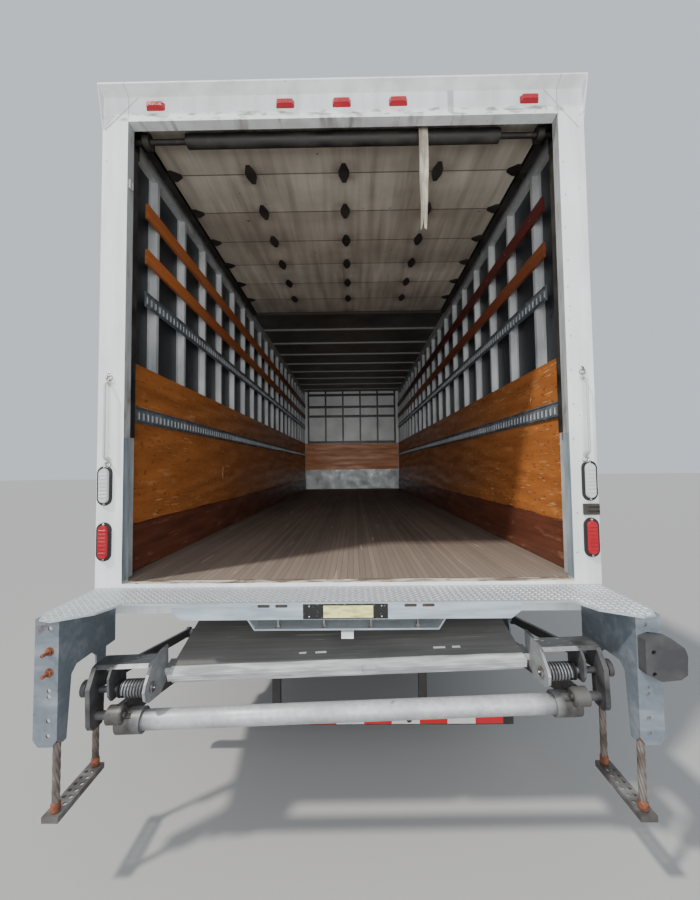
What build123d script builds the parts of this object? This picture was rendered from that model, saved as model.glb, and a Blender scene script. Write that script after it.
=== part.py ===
from build123d import *
from math import atan2, copysign, cos, hypot, radians, sin
import os

# A box truck with a roll-up rear door and a tuck-under liftgate. Millimetres, +Y forward, +Z up,
# +X to the truck's right. The origin is on the ground under the middle of the truck.

# The whole truck. Distances along it run forward from the rear frame's back face.
REAR_REACH = 420.0
FLOOR_HEIGHT = 1200.0
HALF_WIDTH = 1295.0
BOX_LENGTH = 8150.0
REAR_AXLE = 3300.0
SEAT_GAP = 0.3
FOOT_GAP = 3.0
MOVING_GAP = 6.0

# The rear frame and the load space, heights above the load floor.
OPENING_HALF = 1157.0
OPENING_TOP = 2465.0
FRAME_DEPTH = 57.0
CORNICE_TOP = 2640.0
CORNICE_FOOT = 2605.0
CORNICE_LIP = 50.0
FLARE_FOOT = 2415.0
WALL_TOP = 2600.0
SKIN = 3.0
POST_DEPTH = 45.0
POST_WIDTH = 38.0
POST_FLANGE = 26.0
BODY_RAIL = 5.0
POST_PITCH = 406.4
FIRST_POST = 500.0
LINING_TOP = 1210.0
LINING = 10.0
SCUFF_TOP = 265.0
SCUFF = 22.0
TRACK_HEIGHT = 95.0
TRACK_DEPTH = 9.0
SLAT_HEIGHT = 92.0
SLAT_DEPTH = 18.0
DECK = 35.0
CROSSMEMBER = 100.0
SILL_RAIL = 50.0

# The roll-up door, open under the roof.
PANEL_COUNT = 7
PANEL_LENGTH = 375.0
PANEL_GAP = 2.0
PANEL_THICK = 20.0
PANEL_HALF = 1150.0
PANEL_BOTTOM = 2530.0
DOOR_START = 90.0
HINGE_COLUMN = 617.0
HINGE_DROP = 4.0
DOOR_TRACK = 45.0
BALANCER_Y = 150.0
BALANCER_Z = 2483.0

# The chassis.
RAIL_HALF = 432.0
RAIL_HEIGHT = 254.0
RAIL_FLANGE = 80.0
RAIL_WALL = 8.0
HANGER = 8.0
SPRING_WIDTH = 76.0
LEAF = 14.0
RAIL_REAR = 500.0
TYRE_RADIUS = 465.0
TYRE_WIDTH = 250.0
RIM_RADIUS = 290.0
FRONT_TRACK_HALF = 1020.0
DUAL_OUTER = 1090.0
DUAL_INNER = 805.0
KINGPIN_HALF = 860.0
FRONT_DISH = 95.0
SPINDLE_RADIUS = 35.0
STEERING_ARM = 180.0
STUD_CIRCLE = 143.0
HAND_HOLE_CIRCLE = 212.0
HAND_HOLE = 26.0
HAND_HOLES = 5

# The cab and the tilting hood.
CAB_HALF = 1040.0
CAB_GAP = 120.0
CAB_LENGTH = 1390.0
HOOD_LENGTH = 1200.0
BUMPER_REACH = 120.0
AXLE_AHEAD = 390.0
CAB_BOTTOM = 860.0
CAB_FLOOR = 1060.0
CAB_TOP = 2500.0
CAB_BEND = 1700.0
CAB_LEAN = 90.0
CAB_WALL = 45.0
CAB_ROUND = 110.0
GLASS_INSET = 18.0
GLASS = 6.0
HOOD_GAP = 12.0
FENDER_HALF = 1190.0
HOOD_SKIN = 25.0
ARCH_RADIUS = 580.0
HOOD_PIVOT_Z = 720.0
DOOR_HINGE_X = 1058.0

# The liftgate. Its moving frame hangs lower on the left by the sag angle.
GATE_SAG = 1.9
ARM_PIVOT_Y = 700.0
ARM_PIVOT_Z = -620.0
ARM_END_Y = -300.0
ARM_END_Z = -430.0
LINK_RISE = 115.0
ARM_X = 985.0
ARM_THICK = 25.0
LINK_X = 1115.0
LINK_THICK = 20.0
PIN_RADIUS = 18.0
PIN_PLAY = 0.1
CRANK = 150.0
CYLINDER_FOOT_Y = 1450.0
CYLINDER_FOOT_Z = -600.0
TUBE_RADIUS = 40.0
PLATFORM_HALF = 820.0
PLATFORM_REAR = -200.0
PLATFORM_EDGE_Z = -325.0
PLATFORM_RISE = 15.0
PLATFORM_LENGTH = 540.0
PLATE_TOP = -20.0
PLATE_THICK = 8.0
UPRIGHT_INNER = 1185.0
BUMPER_BOLTS = (-161.0, -246.0)

# Places ahead of the box follow from its length: the cab's back, its cowl, the hood and the bumper.
CAB_BACK = BOX_LENGTH + CAB_GAP
COWL = CAB_BACK + CAB_LENGTH
HOOD_FRONT = COWL + HOOD_LENGTH
FRONT_REACH = HOOD_FRONT + BUMPER_REACH
FRONT_AXLE = COWL + AXLE_AHEAD
RAIL_FRONT = HOOD_FRONT - 60
HOOD_PIVOT_Y = HOOD_FRONT - 20
DOOR_HINGE_Y = COWL - 168

Y0 = -(FRONT_REACH - REAR_REACH) / 2


def fore(distance):
    """y of a place this far ahead of the rear frame's back face."""
    return Y0 + distance


def up(height):
    """z of a place this high above the load floor."""
    return FLOOR_HEIGHT + height


def block(xs, ys, zs, mode=Mode.ADD):
    """A square-cut piece between three pairs of faces."""
    with Locations(((xs[0] + xs[1]) / 2, (ys[0] + ys[1]) / 2, (zs[0] + zs[1]) / 2)):
        Box(xs[1] - xs[0], ys[1] - ys[0], zs[1] - zs[0], mode=mode)


def side_plate(points, xs, mode=Mode.ADD):
    """An outline of (y, z) points seen from the side, run across from xs[0] to xs[1]."""
    with BuildSketch(Plane.YZ.offset(xs[0])) as outline:
        with BuildLine():
            Polyline(*points, close=True)
        make_face()
    extrude(outline.sketch, amount=xs[1] - xs[0], mode=mode)


def end_plate(points, ys, mode=Mode.ADD):
    """An outline of (x, z) points seen from behind, run forward from ys[0] to ys[1]."""
    with BuildSketch(Plane.XZ.offset(-ys[1])) as outline:
        with BuildLine():
            Polyline(*points, close=True)
        make_face()
    extrude(outline.sketch, amount=ys[1] - ys[0], mode=mode)


def flat_plate(points, zs, mode=Mode.ADD):
    """An outline of (x, y) points seen from above, run up from zs[0] to zs[1]."""
    with BuildSketch(Plane.XY.offset(zs[0])) as outline:
        with BuildLine():
            Polyline(*points, close=True)
        make_face()
    extrude(outline.sketch, amount=zs[1] - zs[0], mode=mode)


def rounded_plate(plane, points, depth, radius, mode=Mode.ADD):
    """An outline drawn on a plane with all its corners rounded, run out from the plane by depth."""
    with BuildSketch(plane) as outline:
        with BuildLine():
            Polyline(*points, close=True)
        make_face()
        fillet(outline.vertices(), radius)
    extrude(outline.sketch, amount=depth, mode=mode)


def rounded_block(xs, ys, zs, radius, mode=Mode.ADD):
    """A block whose outline, seen from behind, has rounded corners."""
    with BuildSketch(Plane.XZ.offset(-ys[1])) as outline:
        with Locations(((xs[0] + xs[1]) / 2, (zs[0] + zs[1]) / 2)):
            RectangleRounded(xs[1] - xs[0], zs[1] - zs[0], radius)
    extrude(outline.sketch, amount=ys[1] - ys[0], mode=mode)


def cross_rod(y, z, radius, xs, mode=Mode.ADD):
    """A round bar that lies across the truck."""
    with Locations(Plane(origin=((xs[0] + xs[1]) / 2, y, z), z_dir=(1, 0, 0))):
        Cylinder(radius, xs[1] - xs[0], mode=mode)


def rod(start, end, radius, mode=Mode.ADD):
    """A round bar from one point to another."""
    path = Vector(*end) - Vector(*start)
    with Locations(Plane(origin=Vector(*start) + path / 2, z_dir=path)):
        Cylinder(radius, path.length, mode=mode)


def mirrored(side, values):
    """Low and high x of a span given on the right, for side -1 or 1."""
    return sorted(side * value for value in values)


def save(piece, name):
    """Name the finished piece and write its file."""
    piece.label = name
    export_step(piece, f"parts/{name}.step")


os.makedirs("parts", exist_ok=True)

# Load floor: hardwood boards laid lengthwise on steel crossmembers.
deck_half = HALF_WIDTH - SKIN - POST_DEPTH - 2 * SEAT_GAP
deck_front = BOX_LENGTH - SKIN - POST_DEPTH
with BuildPart() as box_floor:
    ys = (fore(FRAME_DEPTH + SEAT_GAP), fore(deck_front - SEAT_GAP))
    block((-deck_half, deck_half), ys, (up(-DECK), up(0)))
save(box_floor.part, "box_floor")

# Floor frame: I-section crossmembers over two long sills on the chassis rails, and a side rail each side.
member_top = -DECK - SEAT_GAP
member_low = member_top - CROSSMEMBER
rail_top = member_low - SILL_RAIL
first_member = 250.0
member_pitch = 406.4
member_count = int((deck_front - first_member) / member_pitch) + 1
with BuildPart() as floor_frame:
    for number in range(member_count):
        y = fore(first_member + number * member_pitch)
        block((-deck_half, deck_half), (y - 3, y + 3), (up(member_low), up(member_top)))
        for low in (member_low, member_top - 6):
            block((-deck_half, deck_half), (y - 25, y + 25), (up(low), up(low + 6)))
    for side in (-1, 1):
        sill = mirrored(side, (RAIL_HALF - RAIL_FLANGE, RAIL_HALF))
        block(sill, (fore(RAIL_REAR - 60), fore(deck_front - 60)), (up(rail_top), up(member_low)))
        rail = mirrored(side, (deck_half - 8, deck_half))
        block(rail, (fore(first_member - 40), fore(deck_front - 60)), (up(member_low), up(member_top)))
save(floor_frame.part, "floor_frame")

# Side and front walls: sheet skin on hat-section posts, with proud rails along its top and bottom.
post_count = int((BOX_LENGTH - FIRST_POST - 200) / POST_PITCH) + 1
wall_low = -DECK - CROSSMEMBER
front_skin = BOX_LENGTH - SKIN
side_end = front_skin - POST_DEPTH - 1
post_foot = HALF_WIDTH - SKIN
post_crown = post_foot - POST_DEPTH
with BuildPart() as box_walls:
    for side in (-1, 1):
        ys = (fore(FRAME_DEPTH + SEAT_GAP), fore(side_end))
        block(mirrored(side, (post_foot, HALF_WIDTH)), ys, (up(wall_low), up(WALL_TOP)))
        for low, high in ((wall_low, wall_low + 190), (WALL_TOP - 130, WALL_TOP)):
            block(mirrored(side, (HALF_WIDTH - 1, HALF_WIDTH + BODY_RAIL)), ys, (up(low), up(high)))
        block(mirrored(side, (post_crown, post_foot)), ys, (up(WALL_TOP - 100), up(WALL_TOP)))
        for number in range(post_count):
            y = fore(FIRST_POST + number * POST_PITCH)
            half_crown = POST_WIDTH / 2
            half_foot = half_crown + POST_FLANGE
            hat = [
                (post_crown, y - half_crown + 4),
                (post_crown, y + half_crown - 4),
                (post_foot - 2, y + half_crown),
                (post_foot - 2, y + half_foot),
                (post_foot + 1, y + half_foot),
                (post_foot + 1, y - half_foot),
                (post_foot - 2, y - half_foot),
                (post_foot - 2, y - half_crown),
            ]
            flat_plate([(side * x, place) for x, place in hat], (up(0), up(WALL_TOP - 99)))
    ys = (fore(front_skin), fore(BOX_LENGTH))
    block((-HALF_WIDTH, HALF_WIDTH), ys, (up(wall_low), up(WALL_TOP)))
    ribs = (fore(front_skin - POST_DEPTH), fore(front_skin))
    for x in (-1150, -690, -230, 230, 690, 1150):
        block((x - 20, x + 20), ribs, (up(0), up(WALL_TOP)))
    for z in (1240, 1930, 2180, 2500):
        block((-1170, 1170), ribs, (up(z - 30), up(z + 30)))
    # Rounded corner posts at both ends of the front wall.
    for side in (-1, 1):
        xs = mirrored(side, (post_crown, HALF_WIDTH + BODY_RAIL))
        ys = (ribs[0], fore(BOX_LENGTH + BODY_RAIL))
        with BuildSketch(Plane.XY.offset(up(wall_low))) as corner:
            with Locations(((xs[0] + xs[1]) / 2, (ys[0] + ys[1]) / 2)):
                Rectangle(xs[1] - xs[0], ys[1] - ys[0])
            ahead = corner.vertices().sort_by(Axis.Y)[-2:]
            fillet(max(ahead, key=lambda vertex: abs(vertex.X)), 48)
        extrude(corner.sketch, amount=WALL_TOP - wall_low)
save(box_walls.part, "box_walls")

# Plywood lining with a thicker scuff band at its foot, on both sides and across the front.
lining_face = HALF_WIDTH - SKIN - POST_DEPTH - SEAT_GAP
lining_front = front_skin - POST_DEPTH - SEAT_GAP
with BuildPart() as wall_lining:
    for side in (-1, 1):
        ys = (fore(FRAME_DEPTH + 90), fore(lining_front - LINING - SEAT_GAP))
        block(mirrored(side, (lining_face - LINING, lining_face)), ys, (up(SCUFF_TOP), up(LINING_TOP)))
        block(mirrored(side, (lining_face - SCUFF, lining_face)), ys, (up(FOOT_GAP), up(SCUFF_TOP)))
    ys = (fore(lining_front - LINING), fore(lining_front))
    block((-deck_half + SCUFF, deck_half - SCUFF), ys, (up(510), up(1200)))
save(wall_lining.part, "wall_lining")

# Wooden slats along the posts, two a side.
with BuildPart() as wall_slats:
    for side in (-1, 1):
        for low in (1870, 2160):
            xs = mirrored(side, (lining_face - SLAT_DEPTH, lining_face))
            block(xs, (fore(FIRST_POST - 160), fore(lining_front - LINING)), (up(low), up(low + SLAT_HEIGHT)))
save(wall_slats.part, "wall_slats")

# Galvanised wall rails: slotted load tracks, the guards beside the door's foot, and the front kick plate.
track_face = lining_face - LINING - SEAT_GAP
with BuildPart() as wall_rails:
    for side in (-1, 1):
        lower = mirrored(side, (track_face - TRACK_DEPTH, track_face))
        upper = mirrored(side, (lining_face - TRACK_DEPTH, lining_face))
        block(lower, (fore(FRAME_DEPTH + 90), fore(lining_front - 60)), (up(860), up(860 + TRACK_HEIGHT)))
        block(upper, (fore(FIRST_POST - 160), fore(lining_front - 60)), (up(1600), up(1600 + TRACK_HEIGHT)))
        guard = mirrored(side, (OPENING_HALF + 28, OPENING_HALF + 34))
        block(guard, (fore(FRAME_DEPTH + SEAT_GAP), fore(FRAME_DEPTH + 85)), (up(FOOT_GAP), up(760)))
    ys = (fore(lining_front - 3), fore(lining_front))
    block((-deck_half + SCUFF, deck_half - SCUFF), ys, (up(FOOT_GAP), up(510 - SEAT_GAP)))
save(wall_rails.part, "wall_rails")

# Roof: one sheet on cross bows.
roof_low = WALL_TOP + SEAT_GAP
bow_pitch = 610.0
bow_count = int((BOX_LENGTH - 500) / bow_pitch) + 1
bow_half = deck_half - 5
with BuildPart() as roof:
    ys = (fore(FRAME_DEPTH + SEAT_GAP), fore(BOX_LENGTH))
    block((-HALF_WIDTH, HALF_WIDTH), ys, (up(roof_low), up(roof_low + SKIN)))
    for number in range(bow_count):
        y = fore(450 + number * bow_pitch)
        block((-bow_half, bow_half), (y - 20, y + 20), (up(roof_low - 25), up(roof_low)))
save(roof.part, "roof")

# Rear frame: two posts, a header under a flared cornice, and the sill with its threshold.
sill_low = -150.0
cornice_edge = CORNICE_TOP - 8
with BuildPart() as rear_frame:
    ys = (fore(0), fore(FRAME_DEPTH))
    for side in (-1, 1):
        block(mirrored(side, (OPENING_HALF, HALF_WIDTH)), ys, (up(sill_low), up(CORNICE_FOOT)))
        flare = [
            (fore(1), up(FLARE_FOOT)),
            (fore(1), up(CORNICE_TOP)),
            (fore(-CORNICE_LIP), up(CORNICE_TOP)),
            (fore(-CORNICE_LIP), up(cornice_edge)),
        ]
        side_plate(flare, mirrored(side, (HALF_WIDTH - 4, HALF_WIDTH)))
    block((-HALF_WIDTH, HALF_WIDTH), ys, (up(OPENING_TOP), up(CORNICE_FOOT)))
    cornice = [
        (fore(0), up(CORNICE_FOOT - 1)),
        (fore(FRAME_DEPTH), up(CORNICE_FOOT - 1)),
        (fore(FRAME_DEPTH), up(CORNICE_TOP)),
        (fore(-CORNICE_LIP), up(CORNICE_TOP)),
        (fore(-CORNICE_LIP), up(cornice_edge)),
    ]
    side_plate(cornice, (-HALF_WIDTH, HALF_WIDTH))
    # Folded ledge along the bottom of the header's face.
    block((-OPENING_HALF, OPENING_HALF), (fore(-4), fore(1)), (up(OPENING_TOP), up(OPENING_TOP + 22)))
    block((-OPENING_HALF - 1, OPENING_HALF + 1), ys, (up(sill_low), up(0)))
save(rear_frame.part, "rear_frame")

# Rear lamps: five markers on the header, and a reversing and a stop lamp on each post.
with BuildPart() as rear_lamps:
    for x in (-1007, -305, 0, 305, 1007):
        with BuildSketch(Plane.XZ.offset(-fore(-SEAT_GAP))) as marker:
            with Locations((x, up(2547))):
                RectangleRounded(100, 44, 8)
        extrude(marker.sketch, amount=22, taper=24)
    for side in (-1, 1):
        for low, high in ((400, 607), (115, 315)):
            middle = (side * 1250, up((low + high) / 2))
            with BuildSketch(Plane.XZ.offset(-fore(-SEAT_GAP))) as grommet:
                with Locations(middle):
                    SlotOverall(high - low, 78, rotation=90)
            extrude(grommet.sketch, amount=9, taper=12)
            with BuildSketch(Plane.XZ.offset(-fore(-SEAT_GAP - 8))) as lens:
                with Locations(middle):
                    SlotOverall(high - low - 26, 54, rotation=90)
            extrude(lens.sketch, amount=13, taper=20)
save(rear_lamps.part, "rear_lamps")

# Grab rods: a round bar beside each post, its ends bent in to round feet.
rod_low, rod_high = 640.0, 1040.0
rod_reach = 38.0
rod_bend = 22.0
with BuildPart() as grab_rods:
    for side in (-1, 1):
        x = side * 1235
        with BuildLine() as path:
            FilletPolyline(
                (x, fore(-SEAT_GAP), up(rod_low)),
                (x, fore(-rod_reach), up(rod_low)),
                (x, fore(-rod_reach), up(rod_high)),
                (x, fore(-SEAT_GAP), up(rod_high)),
                radius=rod_bend,
            )
        with BuildSketch(Plane(origin=(x, fore(-SEAT_GAP), up(rod_low)), z_dir=(0, -1, 0))) as bar:
            Circle(6)
        sweep(bar.sketch, path=path.line)
        for z in (rod_low, rod_high):
            with Locations(Plane(origin=(x, fore(-SEAT_GAP - 2), up(z)), z_dir=(0, 1, 0))):
                Cylinder(14, 4)
save(grab_rods.part, "grab_rods")

# Roll-up door: seven panels lying open under the roof.
with BuildPart() as roll_door:
    for number in range(PANEL_COUNT):
        low = fore(DOOR_START + number * PANEL_LENGTH)
        ys = (low, low + PANEL_LENGTH - PANEL_GAP)
        block((-PANEL_HALF, PANEL_HALF), ys, (up(PANEL_BOTTOM), up(PANEL_BOTTOM + PANEL_THICK)))
save(roll_door.part, "roll_door")

# Door hardware: hinge and roller plates at each joint, the side tracks, and the balancer behind the header.
track_top = PANEL_BOTTOM + PANEL_THICK + 15
track_low = track_top - DOOR_TRACK
plate_zs = (up(PANEL_BOTTOM - HINGE_DROP - SEAT_GAP), up(PANEL_BOTTOM - SEAT_GAP))
track_web = PANEL_HALF + 60
bend_radius = 150.0
bend_y = 260.0
bend_foot = track_top - bend_radius - DOOR_TRACK
with BuildPart() as door_hardware:
    for number in range(1, PANEL_COUNT):
        y = fore(DOOR_START + number * PANEL_LENGTH - PANEL_GAP / 2)
        for x in (-HINGE_COLUMN, 0, HINGE_COLUMN):
            quarter = ((12, 82), (35, 20))
            hinge = [(x + across, y + along) for across, along in quarter]
            hinge += [(x + across, y - along) for across, along in reversed(quarter)]
            hinge += [(x - across, y - along) for across, along in quarter]
            hinge += [(x - across, y + along) for across, along in reversed(quarter)]
            flat_plate(hinge, plate_zs)
        for side in (-1, 1):
            bracket = [
                (PANEL_HALF - 75, y - 14), (PANEL_HALF - 25, y - 48), (PANEL_HALF + 4, y - 48),
                (PANEL_HALF + 4, y + 48), (PANEL_HALF - 25, y + 48), (PANEL_HALF - 75, y + 14),
            ]
            flat_plate([(side * x, along) for x, along in bracket], plate_zs)
            lug = mirrored(side, (PANEL_HALF + SEAT_GAP, PANEL_HALF + 4))
            block(lug, (y - 12, y + 12), (plate_zs[0], up(PANEL_BOTTOM + PANEL_THICK)))
            cross_rod(y, up(PANEL_BOTTOM + 10), 8, mirrored(side, (PANEL_HALF + 1, track_web - 3)))
    for side in (-1, 1):
        track = [
            (side * (PANEL_HALF + 12), up(track_low)),
            (side * track_web, up(track_low)),
            (side * track_web, up(track_top)),
            (side * (PANEL_HALF + 12), up(track_top)),
            (side * (PANEL_HALF + 12), up(track_top - 3)),
            (side * (track_web - 3), up(track_top - 3)),
            (side * (track_web - 3), up(track_low + 3)),
            (side * (PANEL_HALF + 12), up(track_low + 3)),
        ]
        end_plate(track, (fore(bend_y), fore(DOOR_START + PANEL_COUNT * PANEL_LENGTH + 60)))
        # Hanger straps from the track to the wall's top rail.
        for y in (1500, 2600):
            hanger = mirrored(side, (track_web - 3, deck_half - 1))
            block(hanger, (fore(y), fore(y + 40)), (up(track_top), up(track_top + 3)))
        # The bend down to the vertical track, and that track as an angle against the frame.
        with BuildSketch(Plane.YZ.offset(min(side * track_web, side * (track_web - 3)))) as bend:
            with BuildLine():
                outer = CenterArc((fore(bend_y), up(bend_foot)), bend_radius + DOOR_TRACK, 90, 90)
                inner = CenterArc((fore(bend_y), up(bend_foot)), bend_radius, 90, 90)
                Line(outer @ 0, inner @ 0)
                Line(outer @ 1, inner @ 1)
            make_face()
        extrude(bend.sketch, amount=3)
        angle = [
            (OPENING_HALF + 3, FRAME_DEPTH + SEAT_GAP), (track_web, FRAME_DEPTH + SEAT_GAP),
            (track_web, FRAME_DEPTH + SEAT_GAP + 12), (track_web - 3, FRAME_DEPTH + SEAT_GAP + 12),
            (track_web - 3, FRAME_DEPTH + SEAT_GAP + 3), (OPENING_HALF + 6, FRAME_DEPTH + SEAT_GAP + 3),
            (OPENING_HALF + 6, FRAME_DEPTH + 48), (OPENING_HALF + 3, FRAME_DEPTH + 48),
        ]
        flat_plate([(side * x, fore(y)) for x, y in angle], (up(760 + SEAT_GAP), up(bend_foot)))
    cross_rod(fore(BALANCER_Y), up(BALANCER_Z), 16, (-OPENING_HALF - 60, OPENING_HALF + 60))
    cross_rod(fore(BALANCER_Y), up(BALANCER_Z), 38, (-900, 900))
    for side in (-1, 1):
        drum = mirrored(side, (OPENING_HALF - 45, OPENING_HALF - 10))
        cross_rod(fore(BALANCER_Y), up(BALANCER_Z), 42, drum)
        end_bearing = mirrored(side, (track_web + 4, track_web + 12))
        block(end_bearing, (fore(FRAME_DEPTH + SEAT_GAP), fore(BALANCER_Y + 60)), (up(2420), up(2540)))
save(door_hardware.part, "door_hardware")

# Pull strap: worn webbing that hangs from the door's first panel behind the header.
strap_route = [
    (455.0, fore(104.0), up(2528.4)),
    (455.0, fore(90.0), up(2470.0)),
    (453.0, fore(84.0), up(2380.0)),
    (455.0, fore(86.0), up(2280.0)),
    (450.0, fore(85.0), up(2160.0)),
    (452.0, fore(90.0), up(2030.0)),
    (444.0, fore(92.0), up(1892.0)),
]
STRAP_THICK = 6.0
strap_radii = []
for before, at, after in zip(strap_route, strap_route[1:], strap_route[2:]):
    first = Vector(*at) - Vector(*before)
    second = Vector(*after) - Vector(*at)
    turn = first.get_angle(second)
    shorter = min(first.length, second.length)
    half = radians(turn / 2)
    strap_radii.append(0.45 * shorter * cos(half) / sin(half))
with BuildPart() as pull_strap:
    with BuildLine() as strap_line:
        FilletPolyline(*strap_route, radius=strap_radii)
    start = Vector(*strap_route[0])
    heading = Vector(*strap_route[1]) - start
    with BuildSketch(Plane(origin=start, x_dir=(1, 0, 0), z_dir=heading)) as section:
        Circle(STRAP_THICK)
    sweep(section.sketch, path=strap_line.line)
save(pull_strap.part, "pull_strap")

# Chassis frame: two C-section rails and their crossmembers.
rail_z = rail_top - SEAT_GAP
rail_low = rail_z - RAIL_HEIGHT
with BuildPart() as chassis_frame:
    for side in (-1, 1):
        rail = [
            (side * RAIL_HALF, up(rail_low)),
            (side * (RAIL_HALF - RAIL_FLANGE), up(rail_low)),
            (side * (RAIL_HALF - RAIL_FLANGE), up(rail_low + RAIL_WALL)),
            (side * (RAIL_HALF - RAIL_WALL), up(rail_low + RAIL_WALL)),
            (side * (RAIL_HALF - RAIL_WALL), up(rail_z - RAIL_WALL)),
            (side * (RAIL_HALF - RAIL_FLANGE), up(rail_z - RAIL_WALL)),
            (side * (RAIL_HALF - RAIL_FLANGE), up(rail_z)),
            (side * RAIL_HALF, up(rail_z)),
        ]
        end_plate(rail, (fore(RAIL_REAR), fore(RAIL_FRONT)))
    between_rails = (-RAIL_HALF + RAIL_WALL, RAIL_HALF - RAIL_WALL)
    for y in (560, 2200, REAR_AXLE + 700, 5400, 6900, CAB_BACK + 230):
        block(between_rails, (fore(y - 30), fore(y + 30)), (up(rail_low + 110), up(rail_z - 30)))
    ys = (fore(RAIL_FRONT - 130), fore(RAIL_FRONT - 50))
    block(between_rails, ys, (up(rail_low), up(rail_low + 70)))
    # Spring hangers and the hood's pivot ears.
    for axle, rear, ahead in ((FRONT_AXLE, 640, 560), (REAR_AXLE, 760, 700)):
        for side in (-1, 1):
            for y in (axle - rear, axle + ahead):
                hanger = [
                    (fore(y - 60), up(rail_low + 120)),
                    (fore(y + 60), up(rail_low + 120)),
                    (fore(y + 32), up(rail_low - 110)),
                    (fore(y - 32), up(rail_low - 110)),
                ]
                side_plate(hanger, mirrored(side, (RAIL_HALF, RAIL_HALF + HANGER)))
    for side in (-1, 1):
        ear = [
            (fore(RAIL_FRONT - 120), up(rail_low + 10)),
            (fore(HOOD_PIVOT_Y - 24), HOOD_PIVOT_Z + 20),
            (fore(HOOD_PIVOT_Y + 14), HOOD_PIVOT_Z + 20),
            (fore(HOOD_PIVOT_Y + 14), HOOD_PIVOT_Z - 24),
            (fore(HOOD_PIVOT_Y - 40), HOOD_PIVOT_Z - 24),
            (fore(RAIL_FRONT - 160), up(rail_low + 40) - 80),
            (fore(RAIL_FRONT - 200), up(rail_low + 10)),
        ]
        side_plate(ear, mirrored(side, (RAIL_HALF, RAIL_HALF + 12)))
        cross_rod(fore(HOOD_PIVOT_Y), HOOD_PIVOT_Z, 12, mirrored(side, (RAIL_HALF + 12, RAIL_HALF + 60)))
save(chassis_frame.part, "chassis_frame")


def leaf_pack(side, axle, rear, ahead, seat_z, eye_z):
    """Three leaves, longest on top, from the rear hanger to the front one, clamped over the axle."""
    inner = RAIL_HALF + HANGER + SEAT_GAP
    xs = mirrored(side, (inner, inner + SPRING_WIDTH))
    for number, share in enumerate((1.0, 0.78, 0.5)):
        top = seat_z - number * LEAF
        low = top - LEAF - 0.5
        back, front = fore(axle - rear * share), fore(axle + ahead * share)
        droop = (eye_z - seat_z) * share * share
        with BuildSketch(Plane.YZ.offset(xs[0])) as leaf:
            with BuildLine():
                upper = ThreePointArc((back, top + droop), (fore(axle), top), (front, top + droop))
                lower = ThreePointArc((back, low + droop), (fore(axle), low), (front, low + droop))
                Line(upper @ 0, lower @ 0)
                Line(upper @ 1, lower @ 1)
            make_face()
        extrude(leaf.sketch, amount=xs[1] - xs[0])
    block(xs, (fore(axle - 60), fore(axle + 60)), (seat_z - 60, seat_z + LEAF))
    for y in (axle - rear, axle + ahead):
        cross_rod(fore(y), eye_z, 24, xs)


# Front axle: a dropped I-beam with an eye for each kingpin, carried by two leaf springs.
hub_z = TYRE_RADIUS
spring_eye = up(rail_low - 80)
front_seat = spring_eye - 70
beam_top = front_seat - 60
with BuildPart() as front_axle:
    half_beam = [
        (-KINGPIN_HALF + 30, hub_z - 45),
        (-KINGPIN_HALF + 150, beam_top - 90),
        (KINGPIN_HALF - 150, beam_top - 90),
        (KINGPIN_HALF - 30, hub_z - 45),
        (KINGPIN_HALF - 30, hub_z + 45),
        (KINGPIN_HALF - 230, beam_top),
        (-KINGPIN_HALF + 230, beam_top),
        (-KINGPIN_HALF + 30, hub_z + 45),
    ]
    end_plate(half_beam, (fore(FRONT_AXLE - 45), fore(FRONT_AXLE + 45)))
    for side in (-1, 1):
        with Locations((side * KINGPIN_HALF, fore(FRONT_AXLE), hub_z)):
            Cylinder(44, 120)
        leaf_pack(side, FRONT_AXLE, 640, 560, front_seat, spring_eye)
    with Locations(*[(side * KINGPIN_HALF, fore(FRONT_AXLE), hub_z) for side in (-1, 1)]):
        Cylinder(22 + PIN_PLAY, 160, mode=Mode.SUBTRACT)
save(front_axle.part, "front_axle")

# Rear axle: tubes on each side of a round differential housing, carried by two leaf springs.
rear_seat = spring_eye - 90
with BuildPart() as rear_axle:
    cross_rod(fore(REAR_AXLE), hub_z, 62, (-640, 640))
    cross_rod(fore(REAR_AXLE), hub_z, SPINDLE_RADIUS, (-1150, 1150))
    with Locations((0, fore(REAR_AXLE), hub_z)):
        Sphere(190)
    rod((0, fore(REAR_AXLE), hub_z), (0, fore(REAR_AXLE + 330), hub_z + 20), 85)
    for side in (-1, 1):
        leaf_pack(side, REAR_AXLE, 760, 700, rear_seat, spring_eye)
        seat = mirrored(side, (RAIL_HALF + 4, RAIL_HALF + HANGER + SPRING_WIDTH))
        block(seat, (fore(REAR_AXLE - 50), fore(REAR_AXLE + 50)), (hub_z, rear_seat - 50))
save(rear_axle.part, "rear_axle")

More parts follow.
